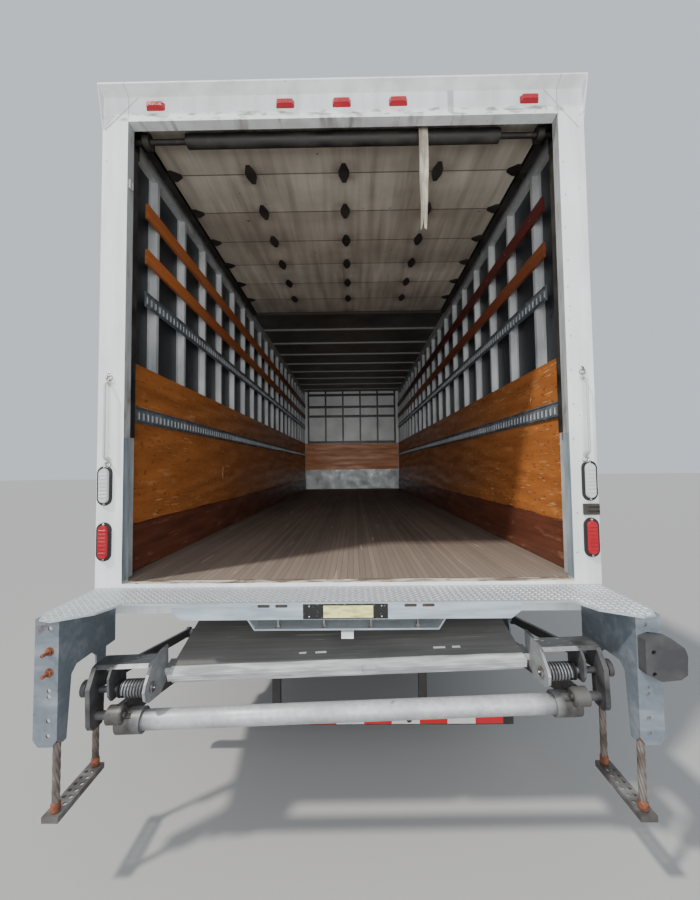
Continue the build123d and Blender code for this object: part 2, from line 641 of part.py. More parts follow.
# Drivetrain: engine as a plain block, gearbox, driveshaft, radiator and exhaust.
engine_low = up(rail_low + 30)
shaft_z = up(rail_low + 20)
shaft_start = (0, fore(COWL - 1360), shaft_z)
shaft_end = (0, fore(REAR_AXLE + 331), hub_z + 20)
pipe_z = engine_low - 60
with BuildPart() as drivetrain:
    block((-290, 290), (fore(COWL + 40), fore(COWL + 760)), (engine_low, engine_low + 560))
    block((-200, 200), (fore(COWL - 260), fore(COWL + 40)), (engine_low - 40, CAB_FLOOR - 50))
    block((-150, 150), (fore(COWL - 1010), fore(COWL - 260)), (shaft_z - 110, CAB_FLOOR - 70))
    rod(shaft_start, (0, fore(COWL - 1009), shaft_z), 70)
    rod(shaft_start, shaft_end, 50)
    mount_half = RAIL_HALF - RAIL_WALL - SEAT_GAP
    ys = (fore(COWL + 290), fore(COWL + 370))
    block((-mount_half, mount_half), ys, (up(rail_low + 70), up(rail_low + 150)))
    block((-340, 340), (fore(COWL + 900), fore(COWL + 980)), (up(rail_low + 71), 1380))
    block((-200, 200), (fore(COWL + 760), fore(COWL + 900)), (up(rail_low + 180), up(rail_low + 240)))
    rod((-230, fore(COWL + 140), engine_low), (-230, fore(COWL - 2660), pipe_z), 45)
    rod((-230, fore(COWL - 2660), pipe_z), (-230, fore(COWL - 3560), pipe_z), 110)
save(drivetrain.part, "drivetrain")

# Tanks on the rails: the fuel tank on the left, the battery box and its step on the right.
tank_x = RAIL_HALF + 40
tank_z = up(rail_low) + 30
tank_columns = (
    # side, width, height, corner radius, length, then the back edges of its two straps behind its front
    (-1, 600, 520, 120, 1150, (950, 250)),
    (1, 540, 420, 30, 700, (600, 150)),
)
with BuildPart() as frame_tanks:
    for side, width, height, radius, length, straps in tank_columns:
        xs = mirrored(side, (tank_x, tank_x + width))
        ys = (fore(BOX_LENGTH - length), fore(BOX_LENGTH))
        rounded_block(xs, ys, (tank_z - height / 2, tank_z + height / 2), radius)
        for behind in straps:
            strap_xs = mirrored(side, (RAIL_HALF + SEAT_GAP, tank_x + 2))
            strap_ys = (fore(BOX_LENGTH - behind), fore(BOX_LENGTH - behind + 60))
            block(strap_xs, strap_ys, (tank_z - 130, tank_z + 170))
save(frame_tanks.part, "frame_tanks")

# Front bumper: a channel with swept ends, bolted to the rail ends.
bumper_half = FENDER_HALF - 10
with BuildPart() as front_bumper:
    ahead = (
        # half width, behind the front, for the outer face and then for the inner one
        (bumper_half, 260), (bumper_half, 120), (900, 0),
    )
    behind = ((890, 30), (bumper_half - 30, 136), (bumper_half - 30, 260))
    outline = [(-x, fore(FRONT_REACH - y)) for x, y in ahead]
    outline += [(x, fore(FRONT_REACH - y)) for x, y in reversed(ahead)]
    outline += [(x, fore(FRONT_REACH - y)) for x, y in reversed(behind)]
    outline += [(-x, fore(FRONT_REACH - y)) for x, y in behind]
    flat_plate(outline, (380, 670))
    for side in (-1, 1):
        foot = mirrored(side, (RAIL_HALF - 60, RAIL_HALF))
        block(foot, (fore(RAIL_FRONT + SEAT_GAP), fore(FRONT_REACH - 29)), (440, 660))
        block(foot, (fore(RAIL_FRONT + SEAT_GAP), fore(RAIL_FRONT + 12)), (440, up(rail_z) - 20))
save(front_bumper.part, "front_bumper")


def cab_volume(inset):
    """The cab's closed form, its side outline crossed with its front outline, inset all round."""
    side_outline = [
        (fore(CAB_BACK + inset), CAB_BOTTOM + inset),
        (fore(CAB_BACK + inset), CAB_TOP - inset),
        (fore(COWL - 470 - inset * 0.5), CAB_TOP - inset),
        (fore(COWL - 60 - inset), 1760 - inset * 0.5),
        (fore(COWL - inset), 1660 - inset * 0.2),
        (fore(COWL - inset), CAB_FLOOR + inset),
        (fore(COWL - 220 - inset), CAB_FLOOR + inset),
        (fore(COWL - 220 - inset), CAB_BOTTOM + inset),
    ]
    half = CAB_HALF - inset
    top = CAB_TOP - inset
    front_outline = [
        (-half, CAB_BOTTOM - 10), (-half, CAB_BEND), (-half + CAB_LEAN, top),
        (half - CAB_LEAN, top), (half, CAB_BEND), (half, CAB_BOTTOM - 10),
    ]
    roof_corner = CAB_ROUND - inset
    with BuildPart() as volume:
        with BuildSketch(Plane.YZ.offset(-CAB_HALF)) as side_view:
            with BuildLine():
                Polyline(*side_outline, close=True)
            make_face()
            fillet(side_view.vertices().sort_by(Axis.Y)[-2:], roof_corner)
        extrude(side_view.sketch, amount=2 * CAB_HALF)
        with BuildSketch(Plane.XZ.offset(-fore(COWL + 10))) as front_view:
            with BuildLine():
                Polyline(*front_outline, close=True)
            make_face()
            fillet(front_view.vertices().sort_by(Axis.Y)[-2:], roof_corner)
        extrude(front_view.sketch, amount=CAB_LENGTH + 20, mode=Mode.INTERSECT)
    return volume.part


# The door and its window as (distance from the cowl, height) points.
door_outline = [
    (-1040, 930), (-280, 930), (-280, 1115), (-180, 1180), (-180, 1700), (-525, 2345), (-1040, 2345),
]
window_outline = [(-970, 1640), (-260, 1640), (-260, 1700), (-565, 2270), (-970, 2270)]


def grown(points, amount):
    """An outline of (distance from the cowl, z) points, moved outward by an amount, as (y, z) points."""
    with BuildSketch(Plane.XY) as plain:
        with BuildLine():
            Polyline(*points, close=True)
        make_face()
    with BuildSketch(Plane.XY) as bigger:
        add(plain.sketch)
        if amount:
            offset(amount=amount, kind=Kind.INTERSECTION)
    corners = [vertex.center() for vertex in bigger.sketch.face().outer_wire().vertices()]
    middle = bigger.sketch.face().center()
    corners.sort(key=lambda corner: atan2(corner.Y - middle.Y, corner.X - middle.X))
    return [(fore(COWL + corner.X), corner.Y) for corner in corners]


# The windscreen and the back light as (x, z) points.
screen_outline = [(-900, 1800), (900, 1800), (830, 2370), (-830, 2370)]
back_outline = [(-620, 1700), (620, 1700), (600, 2200), (-600, 2200)]
screen_ys = (fore(COWL - 560), fore(COWL + 10))
back_ys = (fore(CAB_BACK - 10), fore(CAB_BACK + 200))
hinge_zs = (1150, 1560)


def drawn_in(points):
    """An opening's four corners moved in by the seat gap, for the glass that fills it."""
    middle = (points[0][1] + points[2][1]) / 2
    return [(x - copysign(SEAT_GAP, x), z - copysign(SEAT_GAP, z - middle)) for x, z in points]


# Cab shell: hollow sheet-metal cab with door and window openings cut.
cab_outer = cab_volume(0)
cab_inner = cab_volume(CAB_WALL)
with BuildPart() as cab_shell:
    add(cab_outer)
    add(cab_inner, mode=Mode.SUBTRACT)
    tunnel = (-RAIL_HALF - 60, RAIL_HALF + 60)
    ys = (fore(CAB_BACK - 10), fore(COWL + 10))
    block(tunnel, ys, (CAB_BOTTOM - 10, CAB_FLOOR - 30), Mode.SUBTRACT)
    side_plate(grown(door_outline, MOVING_GAP), (-CAB_HALF - 10, -CAB_HALF + 260), Mode.SUBTRACT)
    side_plate(grown(door_outline, MOVING_GAP), (CAB_HALF - 260, CAB_HALF + 10), Mode.SUBTRACT)
    end_plate(screen_outline, screen_ys, Mode.SUBTRACT)
    end_plate(back_outline, back_ys, Mode.SUBTRACT)
    # Floor over the rails, inside.
    floor_half = CAB_HALF - CAB_WALL - MOVING_GAP
    ys = (fore(CAB_BACK + CAB_WALL), fore(COWL - 220))
    block((-floor_half, floor_half), ys, (CAB_FLOOR - 30, CAB_FLOOR))
    # Body mounts on the rails.
    for y in (CAB_BACK + 130, COWL - 360):
        for side in (-1, 1):
            foot = mirrored(side, (RAIL_HALF - 70, RAIL_HALF - 10))
            block(foot, (fore(y), fore(y + 60)), (up(rail_z) + SEAT_GAP, CAB_FLOOR - 30))
    # Two hinge pins for each door.
    for side in (-1, 1):
        for z in hinge_zs:
            arm = mirrored(side, (CAB_HALF - 40, DOOR_HINGE_X))
            block(arm, (fore(DOOR_HINGE_Y), fore(DOOR_HINGE_Y + 12)), (z, z + 20))
            with Locations((side * DOOR_HINGE_X, fore(DOOR_HINGE_Y), z + 40)):
                Cylinder(7, 80)
save(cab_shell.part, "cab_shell")

# Cab glass: windscreen and back light, set in their openings.
with BuildPart() as cab_glass:
    add(cab_volume(GLASS_INSET))
    add(cab_volume(GLASS_INSET + GLASS), mode=Mode.SUBTRACT)
    with BuildPart(mode=Mode.PRIVATE) as keep:
        end_plate(drawn_in(screen_outline), screen_ys)
        end_plate(drawn_in(back_outline), back_ys)
    add(keep.part, mode=Mode.INTERSECT)
save(cab_glass.part, "cab_glass")

# Doors: a panel as thick as the cab wall with its window cut, and the glass.
for side, word in ((-1, "left"), (1, "right")):
    slab = mirrored(side, (CAB_HALF - 260, CAB_HALF + 5))
    with BuildPart() as door:
        add(cab_outer)
        add(cab_inner, mode=Mode.SUBTRACT)
        with BuildPart(mode=Mode.PRIVATE) as door_zone:
            side_plate(grown(door_outline, 0), slab)
        add(door_zone.part, mode=Mode.INTERSECT)
        side_plate(grown(window_outline, 0), slab, Mode.SUBTRACT)
        for z in hinge_zs:
            zs = (z + 25, z + 65)
            root = mirrored(side, (CAB_HALF - 20, CAB_HALF + 6))
            block(root, (fore(DOOR_HINGE_Y - 50), fore(DOOR_HINGE_Y - 13)), zs)
            leaf = mirrored(side, (CAB_HALF + MOVING_GAP - 1, DOOR_HINGE_X + 12))
            block(leaf, (fore(DOOR_HINGE_Y - 50), fore(DOOR_HINGE_Y + 12)), zs)
            with Locations((side * DOOR_HINGE_X, fore(DOOR_HINGE_Y), z + 45)):
                Cylinder(7 + PIN_PLAY, 60, mode=Mode.SUBTRACT)
    save(door.part, f"door_{word}")
    with BuildPart() as pane:
        add(cab_volume(GLASS_INSET))
        add(cab_volume(GLASS_INSET + GLASS), mode=Mode.SUBTRACT)
        with BuildPart(mode=Mode.PRIVATE) as pane_zone:
            side_plate(grown(window_outline, -SEAT_GAP), slab)
        add(pane_zone.part, mode=Mode.INTERSECT)
    save(pane.part, f"door_glass_{word}")

# Cab interior: dashboard, steering column and seat boxes.
column_end = (-450.0, fore(COWL - 530), 1640.0)
column_foot = (-450.0, fore(COWL - 240), 1420.0)
seat_box = 260.0
with BuildPart() as cab_interior:
    dash = [(-320, 1330), (-100, 1330), (-60, 1650), (-220, 1690), (-330, 1560)]
    dash_points = [(fore(COWL + y), z) for y, z in dash]
    rounded_plate(Plane.YZ.offset(-960), dash_points, 1920, 18)
    rod(column_end, column_foot, 28)
    for side in (-1, 1):
        ys = (fore(CAB_BACK + 230), fore(CAB_BACK + 670))
        block(mirrored(side, (200, 700)), ys, (CAB_FLOOR + SEAT_GAP, CAB_FLOOR + seat_box))
    block((-960, 960), (fore(COWL - 105), fore(COWL - CAB_WALL - SEAT_GAP)), (1400, 1600))
save(cab_interior.part, "cab_interior")

# Seats: a cushion and a back each side, upholstered with round edges.
cushion_low = CAB_FLOOR + seat_box + SEAT_GAP
cushion_top = CAB_FLOOR + seat_box + 120
with BuildPart() as seats:
    for side in (-1, 1):
        xs = mirrored(side, (190, 710))
        plane = Plane.YZ.offset(xs[0])
        cushion = [(80, cushion_low), (720, cushion_low), (720, cushion_top), (80, cushion_top)]
        rounded_plate(plane, [(fore(CAB_BACK + y), z) for y, z in cushion], xs[1] - xs[0], 40)
        foot = cushion_top + SEAT_GAP
        backrest = [(80, foot), (210, foot), (170, 2160), (60, 2160)]
        rounded_plate(plane, [(fore(CAB_BACK + y), z) for y, z in backrest], xs[1] - xs[0], 35)
save(seats.part, "seats")

# Mirrors: a tall head each side on two tubes from the cab's cowl corner.
mirror_y = fore(COWL - 70)
with BuildPart() as mirrors:
    for side in (-1, 1):
        head = mirrored(side, (1240, 1490))
        rounded_block(head, (mirror_y - 30, mirror_y + 50), (1760, 2220), 45)
        for z in (1800, 2160):
            rod((side * (CAB_HALF + 16), mirror_y, 1560), (side * 1300, mirror_y + 10, z), 12)
        with Locations(Plane(origin=(side * (CAB_HALF + SEAT_GAP + 3), mirror_y, 1560), z_dir=(1, 0, 0))):
            Cylinder(45, 6)
            with Locations((0, 0, side * 6)):
                Cylinder(24, 12)
save(mirrors.part, "mirrors")

# Steering wheel: a rim with three spokes on the end of its column.
RIM_CIRCLE = 210.0
HUB_LENGTH = 55.0
wheel_dir = Vector(*column_end) - Vector(*column_foot)
wheel_centre = Vector(*column_end) + wheel_dir.normalized() * (HUB_LENGTH / 2 + SEAT_GAP)
rim_plane = Plane(origin=wheel_centre, x_dir=(1, 0, 0), z_dir=Vector(1, 0, 0).cross(wheel_dir))
with BuildPart() as steering_wheel:
    with BuildSketch(rim_plane) as rim:
        with Locations((RIM_CIRCLE, 0)):
            RegularPolygon(16, 8)
    revolve(rim.sketch, axis=Axis(wheel_centre, wheel_dir))
    with Locations(Plane(origin=wheel_centre, x_dir=(1, 0, 0), z_dir=wheel_dir)):
        Cylinder(55, HUB_LENGTH)
        with PolarLocations(RIM_CIRCLE / 2, 3):
            Box(RIM_CIRCLE, 34, 14)
save(steering_wheel.part, "steering_wheel")

# The fender's side outline as (y, z) points, from the bumper over the wheel to the tail beside the cab.
fender_low = 560.0
tail_y = COWL - 198
fender_side = [
    (HOOD_FRONT - 20, 700), (HOOD_FRONT - 10, 1000), (HOOD_FRONT - 100, 1210), (HOOD_FRONT - 360, 1300),
    (COWL + HOOD_GAP, 1270), (COWL + HOOD_GAP, CAB_FLOOR - 12), (tail_y, CAB_FLOOR - 12),
    (tail_y, fender_low), (COWL + 40, fender_low), (HOOD_FRONT - 360, 700),
]
fender_round = 150.0
fender_top = 1310.0
nose_low = 820.0


def nose(inset):
    """The bonnet between its grille section and its cowl section, drawn in by inset."""
    behind = COWL + HOOD_GAP - (50 if inset else 0)
    with BuildPart() as form:
        for y, half, top in ((HOOD_FRONT - inset, 600, 1470), (behind, 900, 1690)):
            with BuildSketch(Plane.XZ.offset(-fore(y))):
                with Locations((0, (top - inset + nose_low) / 2)):
                    RectangleRounded(2 * (half - inset), top - inset - nose_low, fender_round)
        loft()
    return form.part


def fenders(inset):
    """Both fenders as one form: the side outline crossed with a front outline with round shoulders."""
    half = FENDER_HALF - inset
    with BuildPart() as form:
        with BuildSketch(Plane.YZ.offset(-half)) as side_view:
            with BuildLine():
                Polyline(*[(fore(y), z) for y, z in fender_side], close=True)
            make_face()
            if inset:
                offset(amount=-inset, kind=Kind.INTERSECTION, mode=Mode.REPLACE)
            ahead = side_view.vertices().filter_by(lambda corner: corner.X > fore(COWL + 60))
            fillet(ahead.sort_by(Axis.Y)[-2:], fender_round)
        extrude(side_view.sketch, amount=2 * half)
        with BuildSketch(Plane.XZ.offset(-fore(HOOD_FRONT))) as front_view:
            Rectangle(2 * half, fender_top - inset, align=(Align.CENTER, Align.MIN))
            fillet(front_view.vertices().sort_by(Axis.Y)[-2:], fender_round)
        extrude(front_view.sketch, amount=HOOD_LENGTH + 400, mode=Mode.INTERSECT)
    return form.part


# Hood: a tilting nose with both fenders, hollow and open underneath and behind.
grille_opening = ((-430, 430), (900, 1370))
lamp_opening = ((660, 900), (960, 1120))
OPENING_ROUND = 35.0
with BuildPart() as hood_shell:
    add(fenders(0))
    block((-580, 580), (fore(tail_y - 10), fore(HOOD_FRONT + 10)), (fender_low - 10, 1500), Mode.SUBTRACT)
    add(nose(0))
    add(fenders(HOOD_SKIN), mode=Mode.SUBTRACT)
    add(nose(HOOD_SKIN), mode=Mode.SUBTRACT)
    inside = (-FENDER_HALF + HOOD_SKIN, FENDER_HALF - HOOD_SKIN)
    ys = (fore(tail_y + HOOD_SKIN), fore(HOOD_FRONT - 20 - HOOD_SKIN))
    block(inside, ys, (fender_low - 20, 760), Mode.SUBTRACT)
    cross_rod(fore(FRONT_AXLE), hub_z, ARCH_RADIUS, (-FENDER_HALF - 20, FENDER_HALF + 20), Mode.SUBTRACT)
    # The fenders' tails stand outside the cab, so that they rise past it as the hood tilts.
    tail_inner = CAB_HALF + HOOD_GAP
    ys = (fore(tail_y - 12), fore(COWL + HOOD_GAP))
    block((-tail_inner, tail_inner), ys, (fender_low - 20, CAB_FLOOR), Mode.SUBTRACT)
    grille_xs, grille_zs = grille_opening
    ys = (fore(HOOD_FRONT - 60), fore(HOOD_FRONT + 10))
    rounded_block(grille_xs, ys, grille_zs, OPENING_ROUND, Mode.SUBTRACT)
    for side in (-1, 1):
        ys = (fore(HOOD_FRONT - 90), fore(HOOD_FRONT + 10))
        rounded_block(mirrored(side, lamp_opening[0]), ys, lamp_opening[1], OPENING_ROUND, Mode.SUBTRACT)
        # Pivot arms inside the nose, with their eyes round the pivot pins.
        arm_x = mirrored(side, (RAIL_HALF + 12 + 8, RAIL_HALF + 12 + 32))
        arm = [
            (fore(HOOD_FRONT - 24), 860),
            (fore(HOOD_FRONT - 24), 830),
            (fore(HOOD_PIVOT_Y + 18), HOOD_PIVOT_Z - 10),
            (fore(HOOD_PIVOT_Y - 18), HOOD_PIVOT_Z - 10),
            (fore(HOOD_PIVOT_Y - 60), 860),
        ]
        side_plate(arm, arm_x)
        cross_rod(fore(HOOD_PIVOT_Y), HOOD_PIVOT_Z, 24, arm_x)
        cross_rod(fore(HOOD_PIVOT_Y), HOOD_PIVOT_Z, 12 + PIN_PLAY, arm_x, Mode.SUBTRACT)
save(hood_shell.part, "hood_shell")

# Hood front: the grille's bars in their surround, and the two headlamps.
surround = 30.0
bar_count = 7
bar_half = 11.0
with BuildPart() as hood_front:
    edge = SEAT_GAP
    (left, right), (low, high) = grille_opening
    face = (fore(HOOD_FRONT - 24), fore(HOOD_FRONT - 4))
    rounded_block((left + edge, right - edge), face, (low + edge, high - edge), OPENING_ROUND)
    hole = (left + surround, right - surround)
    rounded_block(hole, face, (low + surround, high - surround), OPENING_ROUND - 10, Mode.SUBTRACT)
    bar_step = (high - low - 2 * surround) / (bar_count + 1)
    for number in range(bar_count):
        z = low + surround + (number + 1) * bar_step
        block((hole[0] - 1, hole[1] + 1), (face[0] + 2, face[1] - 4), (z - bar_half, z + bar_half))
    for side in (-1, 1):
        (inner, outer), (low, high) = lamp_opening
        xs = mirrored(side, (inner + edge, outer - edge))
        ys = (fore(HOOD_FRONT - 70), fore(HOOD_FRONT - 14))
        rounded_block(xs, ys, (low + edge, high - edge), OPENING_ROUND)
save(hood_front.part, "hood_front")

# Knuckles: two ears on the kingpin, a spindle for the hub and a steering arm to the rear.
for side, word in ((-1, "left"), (1, "right")):
    with BuildPart() as knuckle:
        centre = (side * KINGPIN_HALF, fore(FRONT_AXLE), hub_z)
        with Locations(centre):
            Cylinder(22, 150)
        for z in (hub_z - 60 - SEAT_GAP - 24, hub_z + 60 + SEAT_GAP):
            with BuildSketch(Plane.XY.offset(z)) as ear:
                with Locations((side * (KINGPIN_HALF + 12), fore(FRONT_AXLE))):
                    SlotOverall(110, 76)
            extrude(ear.sketch, amount=24)
        plate = mirrored(side, (KINGPIN_HALF + 50, KINGPIN_HALF + 72))
        block(plate, (fore(FRONT_AXLE - 60), fore(FRONT_AXLE + 60)), (hub_z - 84, hub_z + 84))
        spindle = mirrored(side, (KINGPIN_HALF + 70, FRONT_TRACK_HALF + 70))
        cross_rod(fore(FRONT_AXLE), hub_z, SPINDLE_RADIUS, spindle)
        arm_low = hub_z - 60 - SEAT_GAP - 24
        arm = mirrored(side, (KINGPIN_HALF - 14, KINGPIN_HALF + 14))
        block(arm, (fore(FRONT_AXLE - STEERING_ARM), fore(FRONT_AXLE - 30)), (arm_low, arm_low + 24))
        with Locations((side * KINGPIN_HALF, fore(FRONT_AXLE - STEERING_ARM), arm_low - 8)):
            Cylinder(11, 64)
        with Locations((side * KINGPIN_HALF, fore(FRONT_AXLE - STEERING_ARM), arm_low + 12)):
            Cylinder(22, 24)
    save(knuckle.part, f"knuckle_{word}")

# Tie rod: a tube between the two steering arms, with a socket at each end.
rod_z = hub_z - 60 - SEAT_GAP - 24 - 20
with BuildPart() as tie_rod:
    cross_rod(fore(FRONT_AXLE - STEERING_ARM), rod_z, 14, (-KINGPIN_HALF, KINGPIN_HALF))
    for side in (-1, 1):
        with Locations((side * KINGPIN_HALF, fore(FRONT_AXLE - STEERING_ARM), rod_z)):
            Cylinder(24, 36)
    for side in (-1, 1):
        with Locations((side * KINGPIN_HALF, fore(FRONT_AXLE - STEERING_ARM), rod_z)):
            Cylinder(11 + PIN_PLAY, 60, mode=Mode.SUBTRACT)
save(tie_rod.part, "tie_rod")


def tyre_ring(x, y):
    """One tyre on a cross axle, its tread centred at x, in straight bands from bead to tread."""
    half = TYRE_WIDTH / 2
    right_half = [(half - 26, RIM_RADIUS + SEAT_GAP), (half, RIM_RADIUS + 82), (half - 15, TYRE_RADIUS)]
    section = right_half + [(-across, radius) for across, radius in reversed(right_half)]
    with BuildSketch(Plane(origin=(x, y, hub_z), x_dir=(1, 0, 0), z_dir=(0, -1, 0))) as ring:
        with BuildLine():
            Polyline(*section, close=True)
        make_face()
    revolve(ring.sketch, axis=Axis((x, y, hub_z), (1, 0, 0)))


def disc_wheel(x, y, out, dish):
    """One steel wheel: a drop-centre barrel and a dished disc, dish ahead of centre towards out."""
    # Half the barrel's section, from its well to its flange and back; the other half mirrors it.
    half = TYRE_WIDTH / 2 - 24
    wall = 9
    well = RIM_RADIUS - 30
    right_half = [
        (half - 52, well), (half - 42, RIM_RADIUS), (half, RIM_RADIUS), (half + 3.5, RIM_RADIUS + 14),
        (half + 7, RIM_RADIUS - wall), (half - 46, well - wall),
    ]
    profile = [(x + across, radius) for across, radius in right_half]
    profile += [(x - across, radius) for across, radius in reversed(right_half)]
    plane = Plane(origin=(0, y, hub_z), x_dir=(1, 0, 0), z_dir=(0, -1, 0))
    axis = Axis((0, y, hub_z), (1, 0, 0))
    with BuildSketch(plane) as barrel:
        with BuildLine():
            Polyline(*profile, close=True)
        make_face()
    revolve(barrel.sketch, axis=axis)
    face = x + out * dish
    rim_edge = x + out * 30
    rim_inside = well - wall + 1
    disc = [
        (face, 112), (face, 190), (rim_edge + out * 12, 240), (rim_edge + out * 12, rim_inside),
        (rim_edge, rim_inside), (rim_edge, 236), (face - out * 11, 184), (face - out * 11, 112),
    ]
    with BuildSketch(plane) as web:
        with BuildLine():
            Polyline(*disc, close=True)
        make_face()
    revolve(web.sketch, axis=axis)
    with Locations(Plane(origin=(x + out * (dish + 30) / 2, y, hub_z), z_dir=(1, 0, 0))):
        with PolarLocations(HAND_HOLE_CIRCLE, HAND_HOLES, start_angle=36):
            Cylinder(HAND_HOLE, dish + 30, mode=Mode.SUBTRACT)


def wheel_nuts(x, y, side, length):
    """The ten hexagonal nuts round a hub, centred at x."""
    with BuildSketch(Plane(origin=(x - side * length / 2, y, hub_z), z_dir=(side, 0, 0))) as nuts:
        with PolarLocations(STUD_CIRCLE, 10):
            RegularPolygon(19, 6)
    extrude(nuts.sketch, amount=length)


def hub(y, side, inner, outer, radius, bore):
    """A hub and brake drum on the spindle between two x values."""
    cross_rod(y, hub_z, 205, mirrored(side, (inner, inner + 120)))
    cross_rod(y, hub_z, 140, mirrored(side, (inner + 120, outer - 60)))
    cross_rod(y, hub_z, radius, mirrored(side, (outer - 60, outer)))
    cross_rod(y, hub_z, bore, mirrored(side, (inner - 1, outer - 12)), Mode.SUBTRACT)


# Wheels: single tyres in front, twins at the back, on steel discs with ten nuts.
front_y = fore(FRONT_AXLE)
rear_y = fore(REAR_AXLE)
for side, word in ((-1, "left"), (1, "right")):
    with BuildPart() as front_tyre:
        tyre_ring(side * FRONT_TRACK_HALF, front_y)
    save(front_tyre.part, f"tyre_front_{word}")
    with BuildPart() as front_wheel:
        disc_wheel(side * FRONT_TRACK_HALF, front_y, side, FRONT_DISH)
        hub_end = FRONT_TRACK_HALF + FRONT_DISH + 70
        hub(front_y, side, KINGPIN_HALF + 72 + 8, hub_end, 90, SPINDLE_RADIUS + PIN_PLAY)
        wheel_nuts(side * (FRONT_TRACK_HALF + FRONT_DISH), front_y, side, 44)
    save(front_wheel.part, f"wheel_front_{word}")
    with BuildPart() as rear_tyres:
        tyre_ring(side * DUAL_OUTER, rear_y)
        tyre_ring(side * DUAL_INNER, rear_y)
    save(rear_tyres.part, f"tyres_rear_{word}")
    with BuildPart() as rear_wheels:
        disc_wheel(side * DUAL_OUTER, rear_y, -side, (DUAL_OUTER - DUAL_INNER) / 2)
        disc_wheel(side * DUAL_INNER, rear_y, side, (DUAL_OUTER - DUAL_INNER) / 2)
        hub(rear_y, side, 700, 1170, 90, SPINDLE_RADIUS + PIN_PLAY)
        wheel_nuts(side * (DUAL_OUTER + DUAL_INNER) / 2, rear_y, side, 60)
    save(rear_wheels.part, f"wheels_rear_{word}")

# Mud flaps behind the rear tyres, hung from a bar on the rails.
with BuildPart() as mud_flaps:
    for side in (-1, 1):
        flap_y = fore(REAR_AXLE - 640)
        bar_top = up(rail_z) - 40
        block(mirrored(side, (660, 1230)), (flap_y, flap_y + 6), (240, bar_top))
        bar = mirrored(side, (RAIL_HALF + SEAT_GAP, 1230))
        block(bar, (flap_y + 6, flap_y + 36), (bar_top - 40, bar_top))
save(mud_flaps.part, "mud_flaps")

# Underride guard: a square bar low across the back on two legs from the rails.
guard_y = 480
guard_low = -1009.0
with BuildPart() as underride_guard:
    ys = (fore(guard_y - 25), fore(guard_y + 25))
    block((-1010, 1010), ys, (up(guard_low), up(guard_low + 60)))
    for side in (-1, 1):
        leg = mirrored(side, (RAIL_HALF + SEAT_GAP, RAIL_HALF + 50))
        block(leg, (fore(guard_y - 20), fore(guard_y + 20)), (up(guard_low + 59), up(rail_low + 90)))
        foot = (fore(guard_y + 19), fore(RAIL_REAR + 160))
        block(leg, foot, (up(rail_low + 40), up(rail_low + 90)))
save(underride_guard.part, "underride_guard")

# Dock plate: a tread-plate shelf level with the sill, with wings over the uprights and a folded face.
plate_low = PLATE_TOP - PLATE_THICK
face_y = -235.0
wing_half = HALF_WIDTH - 10
bracket_sheet = 8.0


def both_ways(right_half):
    """An outline that is the same on both sides, from the (x, other) points of its right half."""
    return right_half + [(-x, other) for x, other in reversed(right_half)]


with BuildPart() as dock_plate:
    wing = [
        (1010, fore(face_y)), (1060, fore(-340)), (1190, fore(-REAR_REACH)), (1250, fore(-400)),
        (wing_half, fore(-330)), (wing_half, fore(-SEAT_GAP)),
    ]
    flat_plate(both_ways(wing), (up(plate_low), up(PLATE_TOP)))
    folded_face = [(740, up(-95)), (785, up(-60)), (785, up(plate_low + 1))]
    end_plate(both_ways(folded_face), (fore(face_y), fore(face_y + 6)))
    for x in (-370, -290, 290, 370):
        slot = ((x - 28, x + 28), (fore(face_y - 5), fore(face_y + 15)), (up(-42), up(-28)))
        rounded_block(*slot, 6.5, Mode.SUBTRACT)
    for x in (-700, -350, 0, 350, 700):
        block((x - 4, x + 4), (fore(face_y + 6), fore(-SEAT_GAP)), (up(-90), up(plate_low + 1)))
    # The channel below the face: its outside and then its inside, one sheet thick.
    outside = [(470, up(plate_low + 1)), (470, up(-110)), (430, up(-170))]
    inside = [(426, up(-162)), (470 - bracket_sheet, up(-108)), (470 - bracket_sheet, up(plate_low + 1))]
    left_inside = [(-x, z) for x, z in reversed(inside)]
    left_outside = [(-x, z) for x, z in reversed(outside)]
    end_plate(outside + left_outside + left_inside + inside, (fore(-170), fore(-60)))
save(dock_plate.part, "dock_plate")

# Uprights: a punched channel under each wing, with a gusset forward to the sill and a leg for the step.
upright_low = -545.0
upright_top = plate_low - SEAT_GAP
web_ys = (fore(-376), fore(-370))
with BuildPart() as gate_uprights:
    for side in (-1, 1):
        web = [
            (UPRIGHT_INNER, up(upright_top)), (UPRIGHT_INNER, up(upright_low + 28)),
            (UPRIGHT_INNER + 22, up(upright_low)), (wing_half - 22, up(upright_low)),
            (wing_half, up(upright_low + 28)), (wing_half, up(upright_top)),
        ]
        end_plate([(side * x, z) for x, z in web], web_ys)
        flange = mirrored(side, (wing_half - 6, wing_half))
        block(flange, (fore(-371), fore(-320)), (up(upright_low + 28), up(upright_top)))
        gusset = [
            (-371, upright_top), (-371, upright_low + 28), (-345, upright_low), (-322, upright_low),
            (-300, -290), (-270, -262), (-170, -262), (-140, -290), (-130, upright_low),
            (-80, upright_low), (-70, -280), (-SEAT_GAP, -280), (-SEAT_GAP, upright_top),
        ]
        gusset_xs = mirrored(side, (UPRIGHT_INNER, UPRIGHT_INNER + 8))
        side_plate([(fore(y), up(z)) for y, z in gusset], gusset_xs)
        for z in (-68, *BUMPER_BOLTS, -320, -344, -440, -500):
            with Locations(Plane(origin=(side * 1222, fore(-373), up(z)), z_dir=(0, 1, 0))):
                Cylinder(9, 20, mode=Mode.SUBTRACT)
save(gate_uprights.part, "gate_uprights")

